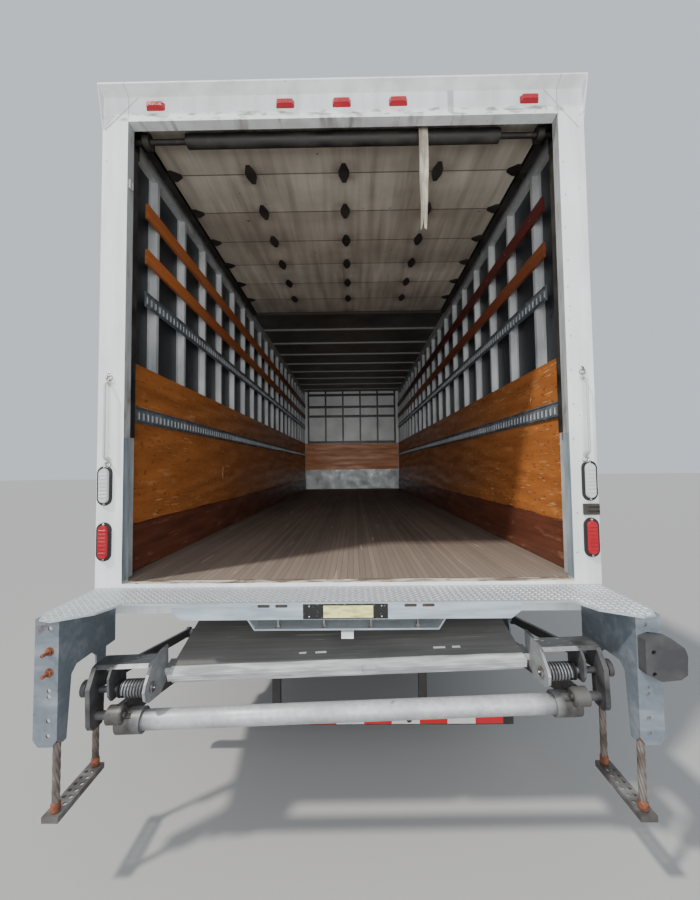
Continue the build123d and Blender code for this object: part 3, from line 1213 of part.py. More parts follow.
# Dock bumper: a moulded rubber block on the right upright. The left one is missing.
with BuildPart() as dock_bumper:
    outline = [
        (1190, -110), (1230, -98), (1290, -105), (1345, -145), (1356, -175), (1352, -250),
        (1326, -268), (1250, -275), (1190, -245),
    ]
    plane = Plane.XZ.offset(-fore(-376 - SEAT_GAP))
    rounded_plate(plane, [(x, up(z)) for x, z in outline], 42, 10)
    for z in BUMPER_BOLTS:
        with Locations(Plane(origin=(1222, fore(-397), up(z)), z_dir=(0, 1, 0))):
            Cylinder(9, 60, mode=Mode.SUBTRACT)
save(dock_bumper.part, "dock_bumper")

# Hung steps: a punched tread on two thick wire ropes each side.
rope_radius = 13.0
step_top = -820.0
step_sheet = 6.0
with BuildPart() as hung_steps:
    for side in (-1, 1):
        x = side * (UPRIGHT_INNER + 8 + SEAT_GAP + rope_radius)
        tread = mirrored(side, (UPRIGHT_INNER - 10, UPRIGHT_INNER + 58))
        block(tread, (fore(-375), fore(-85)), (up(step_top - 25), up(step_top)))
        hollow = (tread[0] + step_sheet, tread[1] - step_sheet)
        ys = (fore(-375 + step_sheet), fore(-85 - step_sheet))
        block(hollow, ys, (up(step_top - 26), up(step_top - step_sheet)), Mode.SUBTRACT)
        for y in (-346, -105):
            rod((x, fore(y), up(-500)), (x, fore(y), up(step_top - 20)), rope_radius)
        with Locations(((tread[0] + tread[1]) / 2, fore(-225.5), up(step_top))):
            with GridLocations(28, 34, 2, 6):
                Cylinder(9, 20, mode=Mode.SUBTRACT)
save(hung_steps.part, "hung_steps")

# Liftgate main frame: hanger plates on the rails, and a cross tube with the pivot brackets of the arms,
# the links and the cylinders.
arm_drop = atan2(ARM_END_Z - ARM_PIVOT_Z, ARM_PIVOT_Y - ARM_END_Y)
arm_length = hypot(ARM_PIVOT_Y - ARM_END_Y, ARM_END_Z - ARM_PIVOT_Z)
sag_axis = Axis((0, fore(0), up(-400)), (0, 1, 0))


def hung(piece):
    """The piece as it hangs, low on the left."""
    return piece.rotate(sag_axis, -GATE_SAG)


def arm_point(along, above):
    """(y, z) of a place on the lift arm: along it from its pivot, and above its centre line."""
    y = ARM_PIVOT_Y - along * cos(arm_drop) + above * sin(arm_drop)
    z = ARM_PIVOT_Z + along * sin(arm_drop) + above * cos(arm_drop)
    return fore(y), up(z)


beam_y = ARM_PIVOT_Y + 130
with BuildPart() as main_frame:
    block((-1080, 1080), (fore(beam_y - 50), fore(beam_y + 50)), (up(-600), up(-500)))
    for side in (-1, 1):
        for x in (ARM_X - 30, LINK_X - 28):
            ear = [
                (fore(beam_y - 49), up(-500)), (fore(ARM_PIVOT_Y - 30), up(ARM_PIVOT_Z + LINK_RISE + 30)),
                (fore(ARM_PIVOT_Y - 40), up(ARM_PIVOT_Z - 10)), (fore(ARM_PIVOT_Y), up(ARM_PIVOT_Z - 40)),
                (fore(beam_y - 49), up(-600)),
            ]
            side_plate(ear, mirrored(side, (x - 10, x)))
        cross_rod(fore(ARM_PIVOT_Y), up(ARM_PIVOT_Z), PIN_RADIUS, mirrored(side, (ARM_X - 45, ARM_X + 22)))
        link_pin = mirrored(side, (LINK_X - 40, LINK_X + 22))
        cross_rod(fore(ARM_PIVOT_Y), up(ARM_PIVOT_Z + LINK_RISE), PIN_RADIUS, link_pin)
        # Cylinder foot on a bracket ahead of the tube.
        foot = [
            (beam_y + 49, -510), (CYLINDER_FOOT_Y, CYLINDER_FOOT_Z + 60),
            (CYLINDER_FOOT_Y + 45, CYLINDER_FOOT_Z), (CYLINDER_FOOT_Y, CYLINDER_FOOT_Z - 40),
            (CYLINDER_FOOT_Y - 60, CYLINDER_FOOT_Z + 30), (beam_y + 49, -560),
        ]
        foot_points = [(fore(y), up(z)) for y, z in foot]
        side_plate(foot_points, mirrored(side, (ARM_X - 85, ARM_X - 75)))
        foot_pin = mirrored(side, (ARM_X - 76, ARM_X - 5))
        cross_rod(fore(CYLINDER_FOOT_Y), up(CYLINDER_FOOT_Z), PIN_RADIUS, foot_pin)
gate_frame = hung(main_frame.part)
with BuildPart() as gate_main_frame:
    add(gate_frame)
    for side in (-1, 1):
        hanger = mirrored(side, (RAIL_HALF + SEAT_GAP, RAIL_HALF + 12))
        block(hanger, (fore(beam_y - 90), fore(beam_y + 90)), (up(-620), up(rail_z - 30)))
save(gate_main_frame.part, "gate_main_frame")

# Lift arms: a plate each side with bosses at both ends and a crank below its pivot, joined by a round tube.
with BuildPart() as lift_arms:
    for side in (-1, 1):
        xs = mirrored(side, (ARM_X - ARM_THICK / 2, ARM_X + ARM_THICK / 2))
        outline = [
            arm_point(0, 45), arm_point(arm_length * 0.5, 55), arm_point(arm_length, 34),
            arm_point(arm_length, -34), arm_point(arm_length * 0.5, -45), arm_point(60, -40),
            arm_point(34, -CRANK), arm_point(-34, -CRANK), arm_point(-45, 0),
        ]
        side_plate(outline, xs)
        y, z = arm_point(arm_length, 0)
        cross_rod(y, z, 38, mirrored(side, (ARM_X - 24, ARM_X + 34)))
        y, z = arm_point(0, 0)
        cross_rod(y, z, 50, xs)
        y, z = arm_point(arm_length - 45, -40)
        cross_rod(y, z, 52, mirrored(side, (ARM_X - 95, ARM_X + 12)))
        y, z = arm_point(0, -CRANK)
        cross_rod(y, z, 36, xs)
        cross_rod(y, z, 12, mirrored(side, (ARM_X - 75, ARM_X)))
    y, z = arm_point(arm_length - 45, -40)
    cross_rod(y, z, TUBE_RADIUS, (-ARM_X + 10, ARM_X - 10))
    for side in (-1, 1):
        bores = mirrored(side, (ARM_X - 60, ARM_X + 60))
        cross_rod(*arm_point(0, 0), PIN_RADIUS + PIN_PLAY, bores, Mode.SUBTRACT)
        cross_rod(*arm_point(arm_length, 0), PIN_RADIUS + PIN_PLAY, bores, Mode.SUBTRACT)
save(hung(lift_arms.part), "lift_arms")

# Parallel arms: a slimmer link above each lift arm that keeps the carriers level.
link_start = (ARM_PIVOT_Y, ARM_PIVOT_Z + LINK_RISE)
link_end = (ARM_END_Y, ARM_END_Z + LINK_RISE)
with BuildPart() as parallel_arms:
    for side in (-1, 1):
        xs = mirrored(side, (LINK_X - LINK_THICK / 2, LINK_X + LINK_THICK / 2))
        outline = []
        for (y, z), reach in ((link_start, 24), (link_end, 24), (link_end, -24), (link_start, -24)):
            outline.append((fore(y) + reach * sin(arm_drop), up(z) + reach * cos(arm_drop)))
        side_plate(outline, xs)
        for y, z in (link_start, link_end):
            cross_rod(fore(y), up(z), 34, xs)
            bore = mirrored(side, (LINK_X - 30, LINK_X + 30))
            cross_rod(fore(y), up(z), PIN_RADIUS + PIN_PLAY, bore, Mode.SUBTRACT)
save(hung(parallel_arms.part), "parallel_arms")

# Carriers: the cast hinge brackets on the arms' ends, with the torsion springs that help the platform open.
spring_y, spring_z = -275.0, -335.0
COIL_PITCH = 13.0
COILS = 9
carrier_inner = PLATFORM_HALF + 30
carrier_outer = LINK_X - 22
rib_x = ARM_X + 18
with BuildPart() as gate_carriers:
    for side in (-1, 1):
        cheek = [
            (-117, -222), (-250, -230), (-318, -305), (-330, -330), (-322, -368), (-295, -390),
            (-200, -405), (-150, -380), (-120, -320),
        ]
        side_plate([(fore(y), up(z)) for y, z in cheek], mirrored(side, (carrier_inner, carrier_inner + 12)))
        rib = [
            (-201, -230), (-299, -230), (-325, -270), (-325, -340), (-305, -370), (-245, -372), (-201, -330),
        ]
        side_plate([(fore(y), up(z)) for y, z in rib], mirrored(side, (rib_x, rib_x + 10)))
        outer_plate = [
            (-200, -230), (-300, -230), (-345, -300), (-345, -450), (-335, -470), (-320, -480),
            (-270, -480), (-258, -470), (-255, -440), (-255, -330),
        ]
        outer_xs = mirrored(side, (carrier_outer - 20, carrier_outer))
        side_plate([(fore(y), up(z)) for y, z in outer_plate], outer_xs)
        # The top plate, sloped along its rear edge.
        top_plate = [(-200, -238), (-200, -226), (-288, -226), (-305, -238)]
        side_plate([(fore(y), up(z)) for y, z in top_plate], mirrored(side, (carrier_inner, carrier_outer)))
        cross_rod(fore(ARM_END_Y), up(ARM_END_Z), PIN_RADIUS, mirrored(side, (ARM_X - 24, carrier_outer)))
        link_pin = mirrored(side, (carrier_outer - 1, LINK_X + 14))
        cross_rod(fore(ARM_END_Y), up(ARM_END_Z + LINK_RISE), PIN_RADIUS, link_pin)
        cross_rod(fore(spring_y), up(spring_z), 14, mirrored(side, (carrier_inner + 5, carrier_outer - 8)))
        # The spring's coils as one grooved barrel round its rod.
        first = carrier_inner + 20
        last = first + COILS * COIL_PITCH
        profile = [(last, 12), (first, 12)]
        for number in range(COILS):
            x = first + number * COIL_PITCH
            profile += [(x, 29), (x + 4, 36), (x + COIL_PITCH - 4, 36)]
        profile.append((last, 29))
        origin = (0, fore(spring_y), up(spring_z))
        with BuildSketch(Plane(origin=origin, x_dir=(1, 0, 0), z_dir=(0, -1, 0))) as spring:
            with BuildLine():
                Polyline(*[(side * x, radius) for x, radius in profile], close=True)
            make_face()
        revolve(spring.sketch, axis=Axis(origin, (1, 0, 0)))
save(hung(gate_carriers.part), "gate_carriers")

# Platform: two aluminium decks folded flat on each other, with a steel edge at the hinge side.
deck_sheet = 34.0
with BuildPart() as folded:
    halves = (-PLATFORM_HALF, PLATFORM_HALF)
    block(halves, (0, PLATFORM_LENGTH), (-deck_sheet, 0))
    block(halves, (30, PLATFORM_LENGTH), (-2 * deck_sheet - 2, -deck_sheet - 2))
    block(halves, (PLATFORM_LENGTH - 30, PLATFORM_LENGTH), (-deck_sheet - 6, -deck_sheet + 4))
    for side in (-1, 1):
        # The hinge lugs that seat against the carriers' cheeks.
        lug = mirrored(side, (PLATFORM_HALF - 1, PLATFORM_HALF + 30 - SEAT_GAP))
        block(lug, (40, 110), (-deck_sheet, -6))
    # Ridges along the steel edge, and the finger notch in its middle.
    for low in (-7, -19, -31):
        block(halves, (-3, 1), (low, low + 4))
    block((72, 138), (-4, 14), (-deck_sheet - 1, 1), Mode.SUBTRACT)
platform_place = Location((0, fore(PLATFORM_REAR), up(PLATFORM_EDGE_Z)), (PLATFORM_RISE, 0, 0))
save(hung(folded.part.moved(platform_place)), "platform")

# Lift cylinders: a barrel on its foot pin each side, and a rod to the crank of its arm.
crank_y, crank_z = arm_point(0, -CRANK)
foot_point = Vector(0, fore(CYLINDER_FOOT_Y), up(CYLINDER_FOOT_Z))
eye_point = Vector(0, crank_y, crank_z)
line = (eye_point - foot_point).normalized()
span = (eye_point - foot_point).length
barrel_x = ARM_X - 45
with BuildPart() as gate_barrels:
    for side in (-1, 1):
        shift = Vector(side * barrel_x, 0, 0)
        rod(shift + foot_point + line * 60, shift + foot_point + line * (span - 190), 32)
        cross_rod(foot_point.Y, foot_point.Z, 30, mirrored(side, (barrel_x - 21, barrel_x + 21)))
        rod(shift + foot_point + line * 20, shift + foot_point + line * 61, 22)
    for side in (-1, 1):
        shift = Vector(side * barrel_x, 0, 0)
        bore = mirrored(side, (barrel_x - 35, barrel_x + 35))
        cross_rod(foot_point.Y, foot_point.Z, PIN_RADIUS + PIN_PLAY, bore, Mode.SUBTRACT)
        start = shift + foot_point + line * 130
        rod(start, shift + foot_point + line * (span - 189), 16 + PIN_PLAY, Mode.SUBTRACT)
save(hung(gate_barrels.part), "gate_barrels")
with BuildPart() as gate_rods:
    for side in (-1, 1):
        shift = Vector(side * barrel_x, 0, 0)
        rod(shift + foot_point + line * 260, shift + eye_point - line * 26, 16)
        cross_rod(eye_point.Y, eye_point.Z, 34, mirrored(side, (barrel_x - 15, barrel_x + 15)))
        bore = mirrored(side, (barrel_x - 25, barrel_x + 25))
        cross_rod(eye_point.Y, eye_point.Z, 22, bore, Mode.SUBTRACT)
save(hung(gate_rods.part), "gate_rods")
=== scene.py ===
import math

import bpy
from mathutils import Matrix, Vector


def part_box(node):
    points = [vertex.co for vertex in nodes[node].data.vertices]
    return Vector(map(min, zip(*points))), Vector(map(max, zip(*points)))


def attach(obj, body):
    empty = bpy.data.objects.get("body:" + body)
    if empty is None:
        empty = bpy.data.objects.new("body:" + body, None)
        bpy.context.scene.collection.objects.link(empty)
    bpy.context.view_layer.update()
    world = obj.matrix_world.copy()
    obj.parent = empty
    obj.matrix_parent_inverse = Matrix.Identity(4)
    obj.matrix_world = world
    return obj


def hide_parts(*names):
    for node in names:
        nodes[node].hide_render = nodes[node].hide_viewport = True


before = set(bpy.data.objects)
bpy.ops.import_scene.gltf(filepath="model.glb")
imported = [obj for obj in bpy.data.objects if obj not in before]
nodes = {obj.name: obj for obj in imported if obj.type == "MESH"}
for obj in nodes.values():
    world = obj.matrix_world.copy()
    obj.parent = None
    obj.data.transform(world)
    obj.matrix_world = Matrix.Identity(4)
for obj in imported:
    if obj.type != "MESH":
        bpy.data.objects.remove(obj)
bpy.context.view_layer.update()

# Camera. The photograph is taken two metres behind the doorway with a very wide lens held just over half a
# metre above the load floor, almost level. Its tilt, turn and roll were solved from the door opening.
floor_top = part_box("box_floor")[1].z
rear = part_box("dock_plate")[1].y + 0.0003
LENS_PIXELS = 379.77
FRAME_HEIGHT_PIXELS = 900
tilt, turn, roll = 0.0433, 0.0093, -0.0113
ahead = Vector((-math.cos(tilt) * math.sin(turn), math.cos(tilt) * math.cos(turn), math.sin(tilt)))
across = Vector((math.cos(turn), math.sin(turn), 0))
above = across.cross(ahead)
camera_right = across * math.cos(roll) + above * math.sin(roll)
camera_up = above * math.cos(roll) - across * math.sin(roll)
turning = Matrix((camera_right, camera_up, -ahead)).transposed()
lens = bpy.data.cameras.new("camera")
lens.sensor_width = 36
lens.lens = 36 * LENS_PIXELS / FRAME_HEIGHT_PIXELS
lens.clip_start = 0.02
camera = bpy.data.objects.new("camera", lens)
camera.matrix_world = Matrix.Translation((0.0424, rear - 1.9666, floor_top + 0.5892)) @ turning.to_4x4()
bpy.context.collection.objects.link(camera)
bpy.context.scene.camera = camera


# Studio. A plain pale floor and plain light: an even sky, a low warm sun from behind on the left, and a soft
# panel behind the camera that reaches into the load space.
def at(x, forward, high):
    """A place on the truck: x, metres ahead of the rear frame's back face, metres above the load floor."""
    return Vector((x, rear + forward, floor_top + high))


def new_finish(name, colour, roughness, metallic=0.0):
    """A new material with what is the same all over it, and its node tree and shader."""
    material = bpy.data.materials.new(name)
    material.use_nodes = True
    shader = material.node_tree.nodes["Principled BSDF"]
    shader.inputs["Base Color"].default_value = (*colour, 1)
    shader.inputs["Roughness"].default_value = roughness
    shader.inputs["Metallic"].default_value = metallic
    return material, material.node_tree, shader


bpy.ops.mesh.primitive_plane_add(size=120, location=(0, 0, 0))
ground = bpy.context.object
ground.name = "studio_floor"
pale, tree, shader = new_finish("studio_floor", (0.34, 0.34, 0.335), 0.85)
ground.data.materials.append(pale)
world = bpy.data.worlds.new("studio")
bpy.context.scene.world = world
world.use_nodes = True
world.node_tree.nodes["Background"].inputs["Color"].default_value = (0.86, 0.92, 1.0, 1)
world.node_tree.nodes["Background"].inputs["Strength"].default_value = 0.80
sun = bpy.data.lights.new("window", "SUN")
sun.energy = 3.6
sun.angle = math.radians(4)
sun.color = (1.0, 0.96, 0.90)
lamp = bpy.data.objects.new("window", sun)
lamp.rotation_euler = Vector((1.47, 1.0, -2.5)).to_track_quat("-Z", "Y").to_euler()
bpy.context.collection.objects.link(lamp)
panel = bpy.data.lights.new("panel", "AREA")
panel.energy = 210
panel.size = 3.4
panel_lamp = bpy.data.objects.new("panel", panel)
panel_lamp.location = at(0, -4.2, 1.4)
panel_lamp.rotation_euler = Vector((0, 1, 0.06)).to_track_quat("-Z", "Y").to_euler()
bpy.context.collection.objects.link(panel_lamp)


# Rear frame. Folded sheet steel, painted white: two posts, a header under an
# overhanging cornice, and the sill. The paint is chalky, with grey streaks below the
# cornice, scrapes on the door returns and rust where it chipped.
def tint(red, green, blue):
    """A colour given as it looks on a screen, 0 to 255, as the shader's linear colour."""
    return tuple(((v / 255 + 0.055) / 1.055) ** 2.4 if v > 10 else v / 3295 for v in (red, green, blue))


def place_at(tree, stretch=(1, 1, 1), source="Object"):
    """Where a point of the surface is, in metres, each axis multiplied by its stretch."""
    coordinates = tree.nodes.new("ShaderNodeTexCoord")
    mapping = tree.nodes.new("ShaderNodeMapping")
    mapping.inputs["Scale"].default_value = stretch
    tree.links.new(coordinates.outputs[source], mapping.inputs["Vector"])
    return mapping.outputs["Vector"]


def ranged(tree, value, low, high, start=0.0, end=1.0):
    """A value brought from low..high to start..end and held there."""
    node = tree.nodes.new("ShaderNodeMapRange")
    tree.links.new(value, node.inputs["Value"])
    for socket, number in (("From Min", low), ("From Max", high), ("To Min", start), ("To Max", end)):
        node.inputs[socket].default_value = number
    return node.outputs["Result"]


def cloudy(tree, vector, scale, low=0.3, high=0.7, detail=4.0):
    """Soft cloudy patches, 0 to 1; a narrow low..high makes sparse hard spots."""
    node = tree.nodes.new("ShaderNodeTexNoise")
    node.inputs["Scale"].default_value = scale
    node.inputs["Detail"].default_value = detail
    tree.links.new(vector, node.inputs["Vector"])
    return ranged(tree, node.outputs["Fac"], low, high)


def sums(tree, kind, first, second):
    """One step of arithmetic on two values, which may be numbers or sockets."""
    node = tree.nodes.new("ShaderNodeMath")
    node.operation = kind
    for socket, value in ((node.inputs[0], first), (node.inputs[1], second)):
        if isinstance(value, (int, float)):
            socket.default_value = value
        else:
            tree.links.new(value, socket)
    return node.outputs[0]


def blended(tree, factor, first, second, share=1.0):
    """A colour between two others, which may be colours or sockets, by at most this share of the factor."""
    if share < 1:
        factor = sums(tree, "MULTIPLY", factor, share)
    node = tree.nodes.new("ShaderNodeMix")
    node.data_type = "RGBA"
    tree.links.new(factor, node.inputs["Factor"])
    for socket, value in ((node.inputs[6], first), (node.inputs[7], second)):
        if isinstance(value, tuple):
            socket.default_value = (*value, 1)
        else:
            tree.links.new(value, socket)
    return node.outputs[2]


def relief(tree, shader, height, strength, depth):
    """Bump on the shader from a height."""
    node = tree.nodes.new("ShaderNodeBump")
    node.inputs["Strength"].default_value = strength
    node.inputs["Distance"].default_value = depth
    tree.links.new(height, node.inputs["Height"])
    tree.links.new(node.outputs["Normal"], shader.inputs["Normal"])


def axis_of(tree, letter, source="Object", away=False):
    """One coordinate of the surface point in metres, or how far it is from the middle plane."""
    coordinates = tree.nodes.new("ShaderNodeTexCoord")
    split = tree.nodes.new("ShaderNodeSeparateXYZ")
    tree.links.new(coordinates.outputs[source], split.inputs[0])
    value = split.outputs["XYZ".index(letter)]
    return sums(tree, "ABSOLUTE", value, 0) if away else value


def between(tree, value, low, high, soft=0.001):
    """1 where the value lies from low to high, falling to 0 over a soft edge."""
    rise = ranged(tree, value, low - soft, low)
    fall = ranged(tree, value, high, high + soft, 1.0, 0.0)
    return sums(tree, "MULTIPLY", rise, fall)


def above_floor(tree):
    """How high the surface point is above the load floor."""
    return sums(tree, "SUBTRACT", axis_of(tree, "Z"), floor_top)


def ahead_of_frame(tree):
    """How far forward of the rear frame's back face the surface point is."""
    return sums(tree, "SUBTRACT", axis_of(tree, "Y"), rear)


def coloured(tree, shader, colour):
    """Feed the shader's base colour."""
    tree.links.new(colour, shader.inputs["Base Color"])


def dress(material, *names):
    """Give these CAD nodes a finish."""
    for name in names:
        mesh = nodes[name].data
        mesh.materials.clear()
        mesh.materials.append(material)


def white_paint(name, colour, dirt, chips):
    """Old white paint with rain streaks, a dull film in patches and small rusty chips."""
    material, tree, shader = new_finish(name, colour, 0.42)
    streaks = cloudy(tree, place_at(tree, (14, 14, 1.1)), 1.0, 0.42, 0.75, 5)
    film = cloudy(tree, place_at(tree), 3.0, 0.35, 0.8, 6)
    dirty = sums(tree, "MULTIPLY", sums(tree, "ADD", streaks, film), dirt)
    weathered = blended(tree, dirty, colour, tint(150, 148, 140))
    chipped = cloudy(tree, place_at(tree), 38.0, 0.735 - chips, 0.745 - chips, 8)
    coloured(tree, shader, blended(tree, chipped, weathered, tint(88, 58, 42)))
    tree.links.new(ranged(tree, dirty, 0, 1, 0.34, 0.7), shader.inputs["Roughness"])
    dents = cloudy(tree, place_at(tree), 1.7, 0.2, 0.8, 2)
    relief(tree, shader, sums(tree, "ADD", dents, sums(tree, "MULTIPLY", chipped, -0.02)), 0.35, 0.02)
    return material, tree, shader


OPENING_HALF = 1.157
OPENING_TOP = 2.465
frame_paint, tree, shader = white_paint("rear_frame_paint", tint(232, 237, 238), 0.30, 0.0)
outside = shader.inputs["Base Color"].links[0].from_socket
height = above_floor(tree)
from_middle = axis_of(tree, "X", away=True)
forward = ahead_of_frame(tree)
on_return = sums(tree, "MULTIPLY", between(tree, from_middle, OPENING_HALF - 0.002, OPENING_HALF + 0.0005),
                 ranged(tree, height, 0.0, 0.01))
scraped = cloudy(tree, place_at(tree, (6, 6, 1.2)), 4.0, 0.42, 0.62, 7)
low_down = ranged(tree, height, 0.15, 1.2, 1.0, 0.25)
return_colour = blended(tree, sums(tree, "MULTIPLY", scraped, low_down), tint(168, 172, 172),
                        tint(84, 78, 74))
rust = cloudy(tree, place_at(tree, (10, 10, 3)), 3.0, 0.60, 0.66, 7)
return_colour = blended(tree, sums(tree, "MULTIPLY", rust, low_down), return_colour, tint(104, 62, 42))
# A bare zinc guard covers the foot of each return, and the header's lower edge is painted a darker grey in
# streaks.
guarded = ranged(tree, height, 0.752, 0.756, 1, 0)
zinc_rubs = cloudy(tree, place_at(tree, (8, 8, 1.0)), 3.0, 0.35, 0.7, 6)
return_colour = blended(tree, guarded, return_colour, blended(tree, zinc_rubs, tint(150, 163, 170),
                                                              tint(96, 106, 112)))
header_band = sums(tree, "MULTIPLY", between(tree, height, OPENING_TOP - 0.01, OPENING_TOP + 0.045, 0.01),
                    cloudy(tree, place_at(tree, (9, 1, 26)), 1.4, 0.52, 0.66, 7))
outside = blended(tree, header_band, outside, tint(112, 104, 98), 0.7)
painted = blended(tree, on_return, outside, return_colour)
# The threshold: white paint worn off to dusty wood-coloured metal, with a dark line along its front.
on_sill = sums(tree, "MULTIPLY", ranged(tree, height, -0.004, -0.0005),
               ranged(tree, height, 0.001, 0.003, 1, 0))
on_sill = sums(tree, "MULTIPLY", on_sill, ranged(tree, from_middle, OPENING_HALF, OPENING_HALF + 0.002, 1, 0))
rubbed = cloudy(tree, place_at(tree, (3.2, 16, 1)), 2.2, 0.46, 0.58, 7)
threshold = blended(tree, rubbed, tint(206, 198, 184), tint(126, 112, 98))
flecked = cloudy(tree, place_at(tree, (20, 50, 1)), 1.0, 0.60, 0.68, 6)
threshold = blended(tree, flecked, threshold, tint(74, 64, 56))
threshold = blended(tree, ranged(tree, forward, 0.050, 0.054), threshold, tint(52, 46, 42))
coloured(tree, shader, blended(tree, on_sill, painted, threshold))
dress(frame_paint, "rear_frame")


# Seams and fastenings of the rear frame: a lapped joint in the header, the mitres where header and posts
# meet, rivets down the right post's edge, and a catch on the left return, all painted over in white.
def alone(piece):
    """Leave only this piece selected, and active."""
    bpy.ops.object.select_all(action="DESELECT")
    piece.select_set(True)
    bpy.context.view_layer.objects.active = piece


def settle(piece, name=None):
    """Put the piece's place into its mesh, and leave its object at the origin."""
    alone(piece)
    bpy.ops.object.transform_apply(location=True, rotation=True, scale=True)
    if name:
        piece.name = name
        piece.data.name = name
    return piece


def worked(piece, kind, wanted):
    """Go into edit mode with only those vertices, edges or faces selected that are wanted."""
    alone(piece)
    bpy.ops.object.mode_set(mode="EDIT")
    bpy.ops.mesh.select_mode(type=kind)
    bpy.ops.mesh.select_all(action="DESELECT")
    bpy.ops.object.mode_set(mode="OBJECT")
    mesh = piece.data
    for item in {"VERT": mesh.vertices, "EDGE": mesh.edges, "FACE": mesh.polygons}[kind]:
        item.select = wanted(item)
    bpy.ops.object.mode_set(mode="EDIT")


def done(piece):
    """Leave edit mode with the faces pointing outwards."""
    bpy.ops.mesh.select_all(action="SELECT")
    bpy.ops.mesh.normals_make_consistent(inside=False)
    bpy.ops.object.mode_set(mode="OBJECT")
    return piece


def plate(name, low, high, edge, steps=1):
    """A plate or block between two corners, with its edges broken."""
    bpy.ops.mesh.primitive_cube_add(size=1, location=(Vector(low) + Vector(high)) / 2)
    piece = bpy.context.object
    piece.scale = [abs(b - a) for a, b in zip(low, high)]
    settle(piece, name)
    worked(piece, "EDGE", lambda line: True)
    bpy.ops.mesh.bevel(offset=edge, segments=steps, affect="EDGES")
    return done(piece)


def pointing(heading):
    """The turn that lays +Z along this heading."""
    return Vector(heading).to_track_quat("Z", "Y").to_matrix().to_4x4()


def turned(name, outline, foot, heading, sides=24):
    """A round piece on a foot point, its (along, radius) outline drawn up ring by ring along its heading."""
    first, radius = outline[0]
    bpy.ops.mesh.primitive_circle_add(vertices=sides, radius=radius, fill_type="NGON", location=(0, 0, first))
    piece = settle(bpy.context.object, name)
    worked(piece, "FACE", lambda face: True)
    for (low, before), (high, after) in zip(outline, outline[1:]):
        bpy.ops.mesh.extrude_region_move(TRANSFORM_OT_translate={"value": (0, 0, high - low)})
        share = after / before
        bpy.ops.transform.resize(value=(share, share, 1), center_override=(0, 0, high))
    done(piece)
    piece.matrix_world = Matrix.Translation(foot) @ pointing(heading)
    return settle(piece)


def joined(name, pieces):
    """Several pieces of one finish as one."""
    bpy.ops.object.select_all(action="DESELECT")
    for piece in pieces:
        piece.select_set(True)
    bpy.context.view_layer.objects.active = pieces[0]
    if len(pieces) > 1:
        bpy.ops.object.join()
    pieces[0].name = name
    pieces[0].data.name = name
    return pieces[0]


def twin(piece):
    """A copy of the piece with a mesh of its own."""
    copy = piece.copy()
    copy.data = piece.data.copy()
    bpy.context.collection.objects.link(copy)
    return copy


def copied(name, piece, places):
    """Copies of a piece, each with its own mesh, moved by these steps or matrices and joined."""
    copies = []
    for place in places:
        copy = twin(piece)
        copy.data.transform(place if isinstance(place, Matrix) else Matrix.Translation(place))
        copies.append(copy)
    bpy.data.objects.remove(piece)
    return joined(name, copies)


def rounded_off(piece, degrees=35):
    """Smooth shading except over sharper edges."""
    alone(piece)
    bpy.ops.object.shade_smooth_by_angle(angle=math.radians(degrees))
    return piece


def hand_over(piece, body, material=None):
    """Say what the piece rides on and which finish it takes."""
    if material:
        piece.data.materials.clear()
        piece.data.materials.append(material)
    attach(piece, body)
    return piece


pieces = [plate("header_lap", at(0.571, -0.0024, 2.490), at(0.602, 0.001, 2.604), 0.0006)]
for foot, top in (((-1.284, 2.424), (-1.100, 2.604)), ((1.266, 2.388), (1.086, 2.604))):
    run = Vector((top[0] - foot[0], 0, top[1] - foot[1]))
    seam = plate("mitre", (-0.0022, -0.0018, 0), (0.0022, 0.001, run.length), 0.0005)
    seam.matrix_world = Matrix.Translation(at(foot[0], 0, foot[1])) @ pointing(run)
    pieces.append(settle(seam))
edge_rivet = turned("edge_rivet", ((0, 0.005), (0.0012, 0.005), (0.0026, 0.0028)), (0, 0, 0), (0, -1, 0), 10)
heights = (0.14, 0.34, 0.72, 0.90, 1.08, 1.26, 1.34, 1.416, 1.52, 1.663, 1.84, 2.02, 2.20)
spots = [at(1.176 + 0.007 * (i % 2), 0.0, z) for i, z in enumerate(heights)]
pieces.append(copied("post_rivets", edge_rivet, spots))
catch = plate("catch", at(-OPENING_HALF, 0.010, 2.108), at(-1.146, 0.040, 2.156), 0.003, 2)
worked(catch, "FACE", lambda face: face.normal.x > 0.9)
bpy.ops.mesh.inset(thickness=0.005, depth=-0.003)
pieces.append(done(catch))
seam_paint = white_paint("seam_paint", tint(196, 200, 200), 0.6, 0.05)[0]
hand_over(rounded_off(joined("frame_seams", pieces)), "root", seam_paint)


# Pockets and slotted block. Two pockets for the door's latch are pressed into the threshold,
# and a slotted block of black steel is screwed to the right post between its two lamps.
def dark_steel(name, colour, worn_colour, roughness=0.45, wear=0.0):
    """Black painted steel with patches of dust and rubs to bare metal."""
    material, tree, shader = new_finish(name, colour, roughness)
    dust = cloudy(tree, place_at(tree), 6.0, 0.35, 0.8, 6)
    rubbed = cloudy(tree, place_at(tree), 24.0, 0.66 - wear, 0.72 - wear, 7)
    paint = blended(tree, dust, colour, tint(104, 98, 90), 0.35)
    coloured(tree, shader, blended(tree, rubbed, paint, worn_colour))
    tree.links.new(ranged(tree, dust, 0, 1, roughness - 0.08, roughness + 0.25), shader.inputs["Roughness"])
    relief(tree, shader, dust, 0.2, 0.002)
    return material


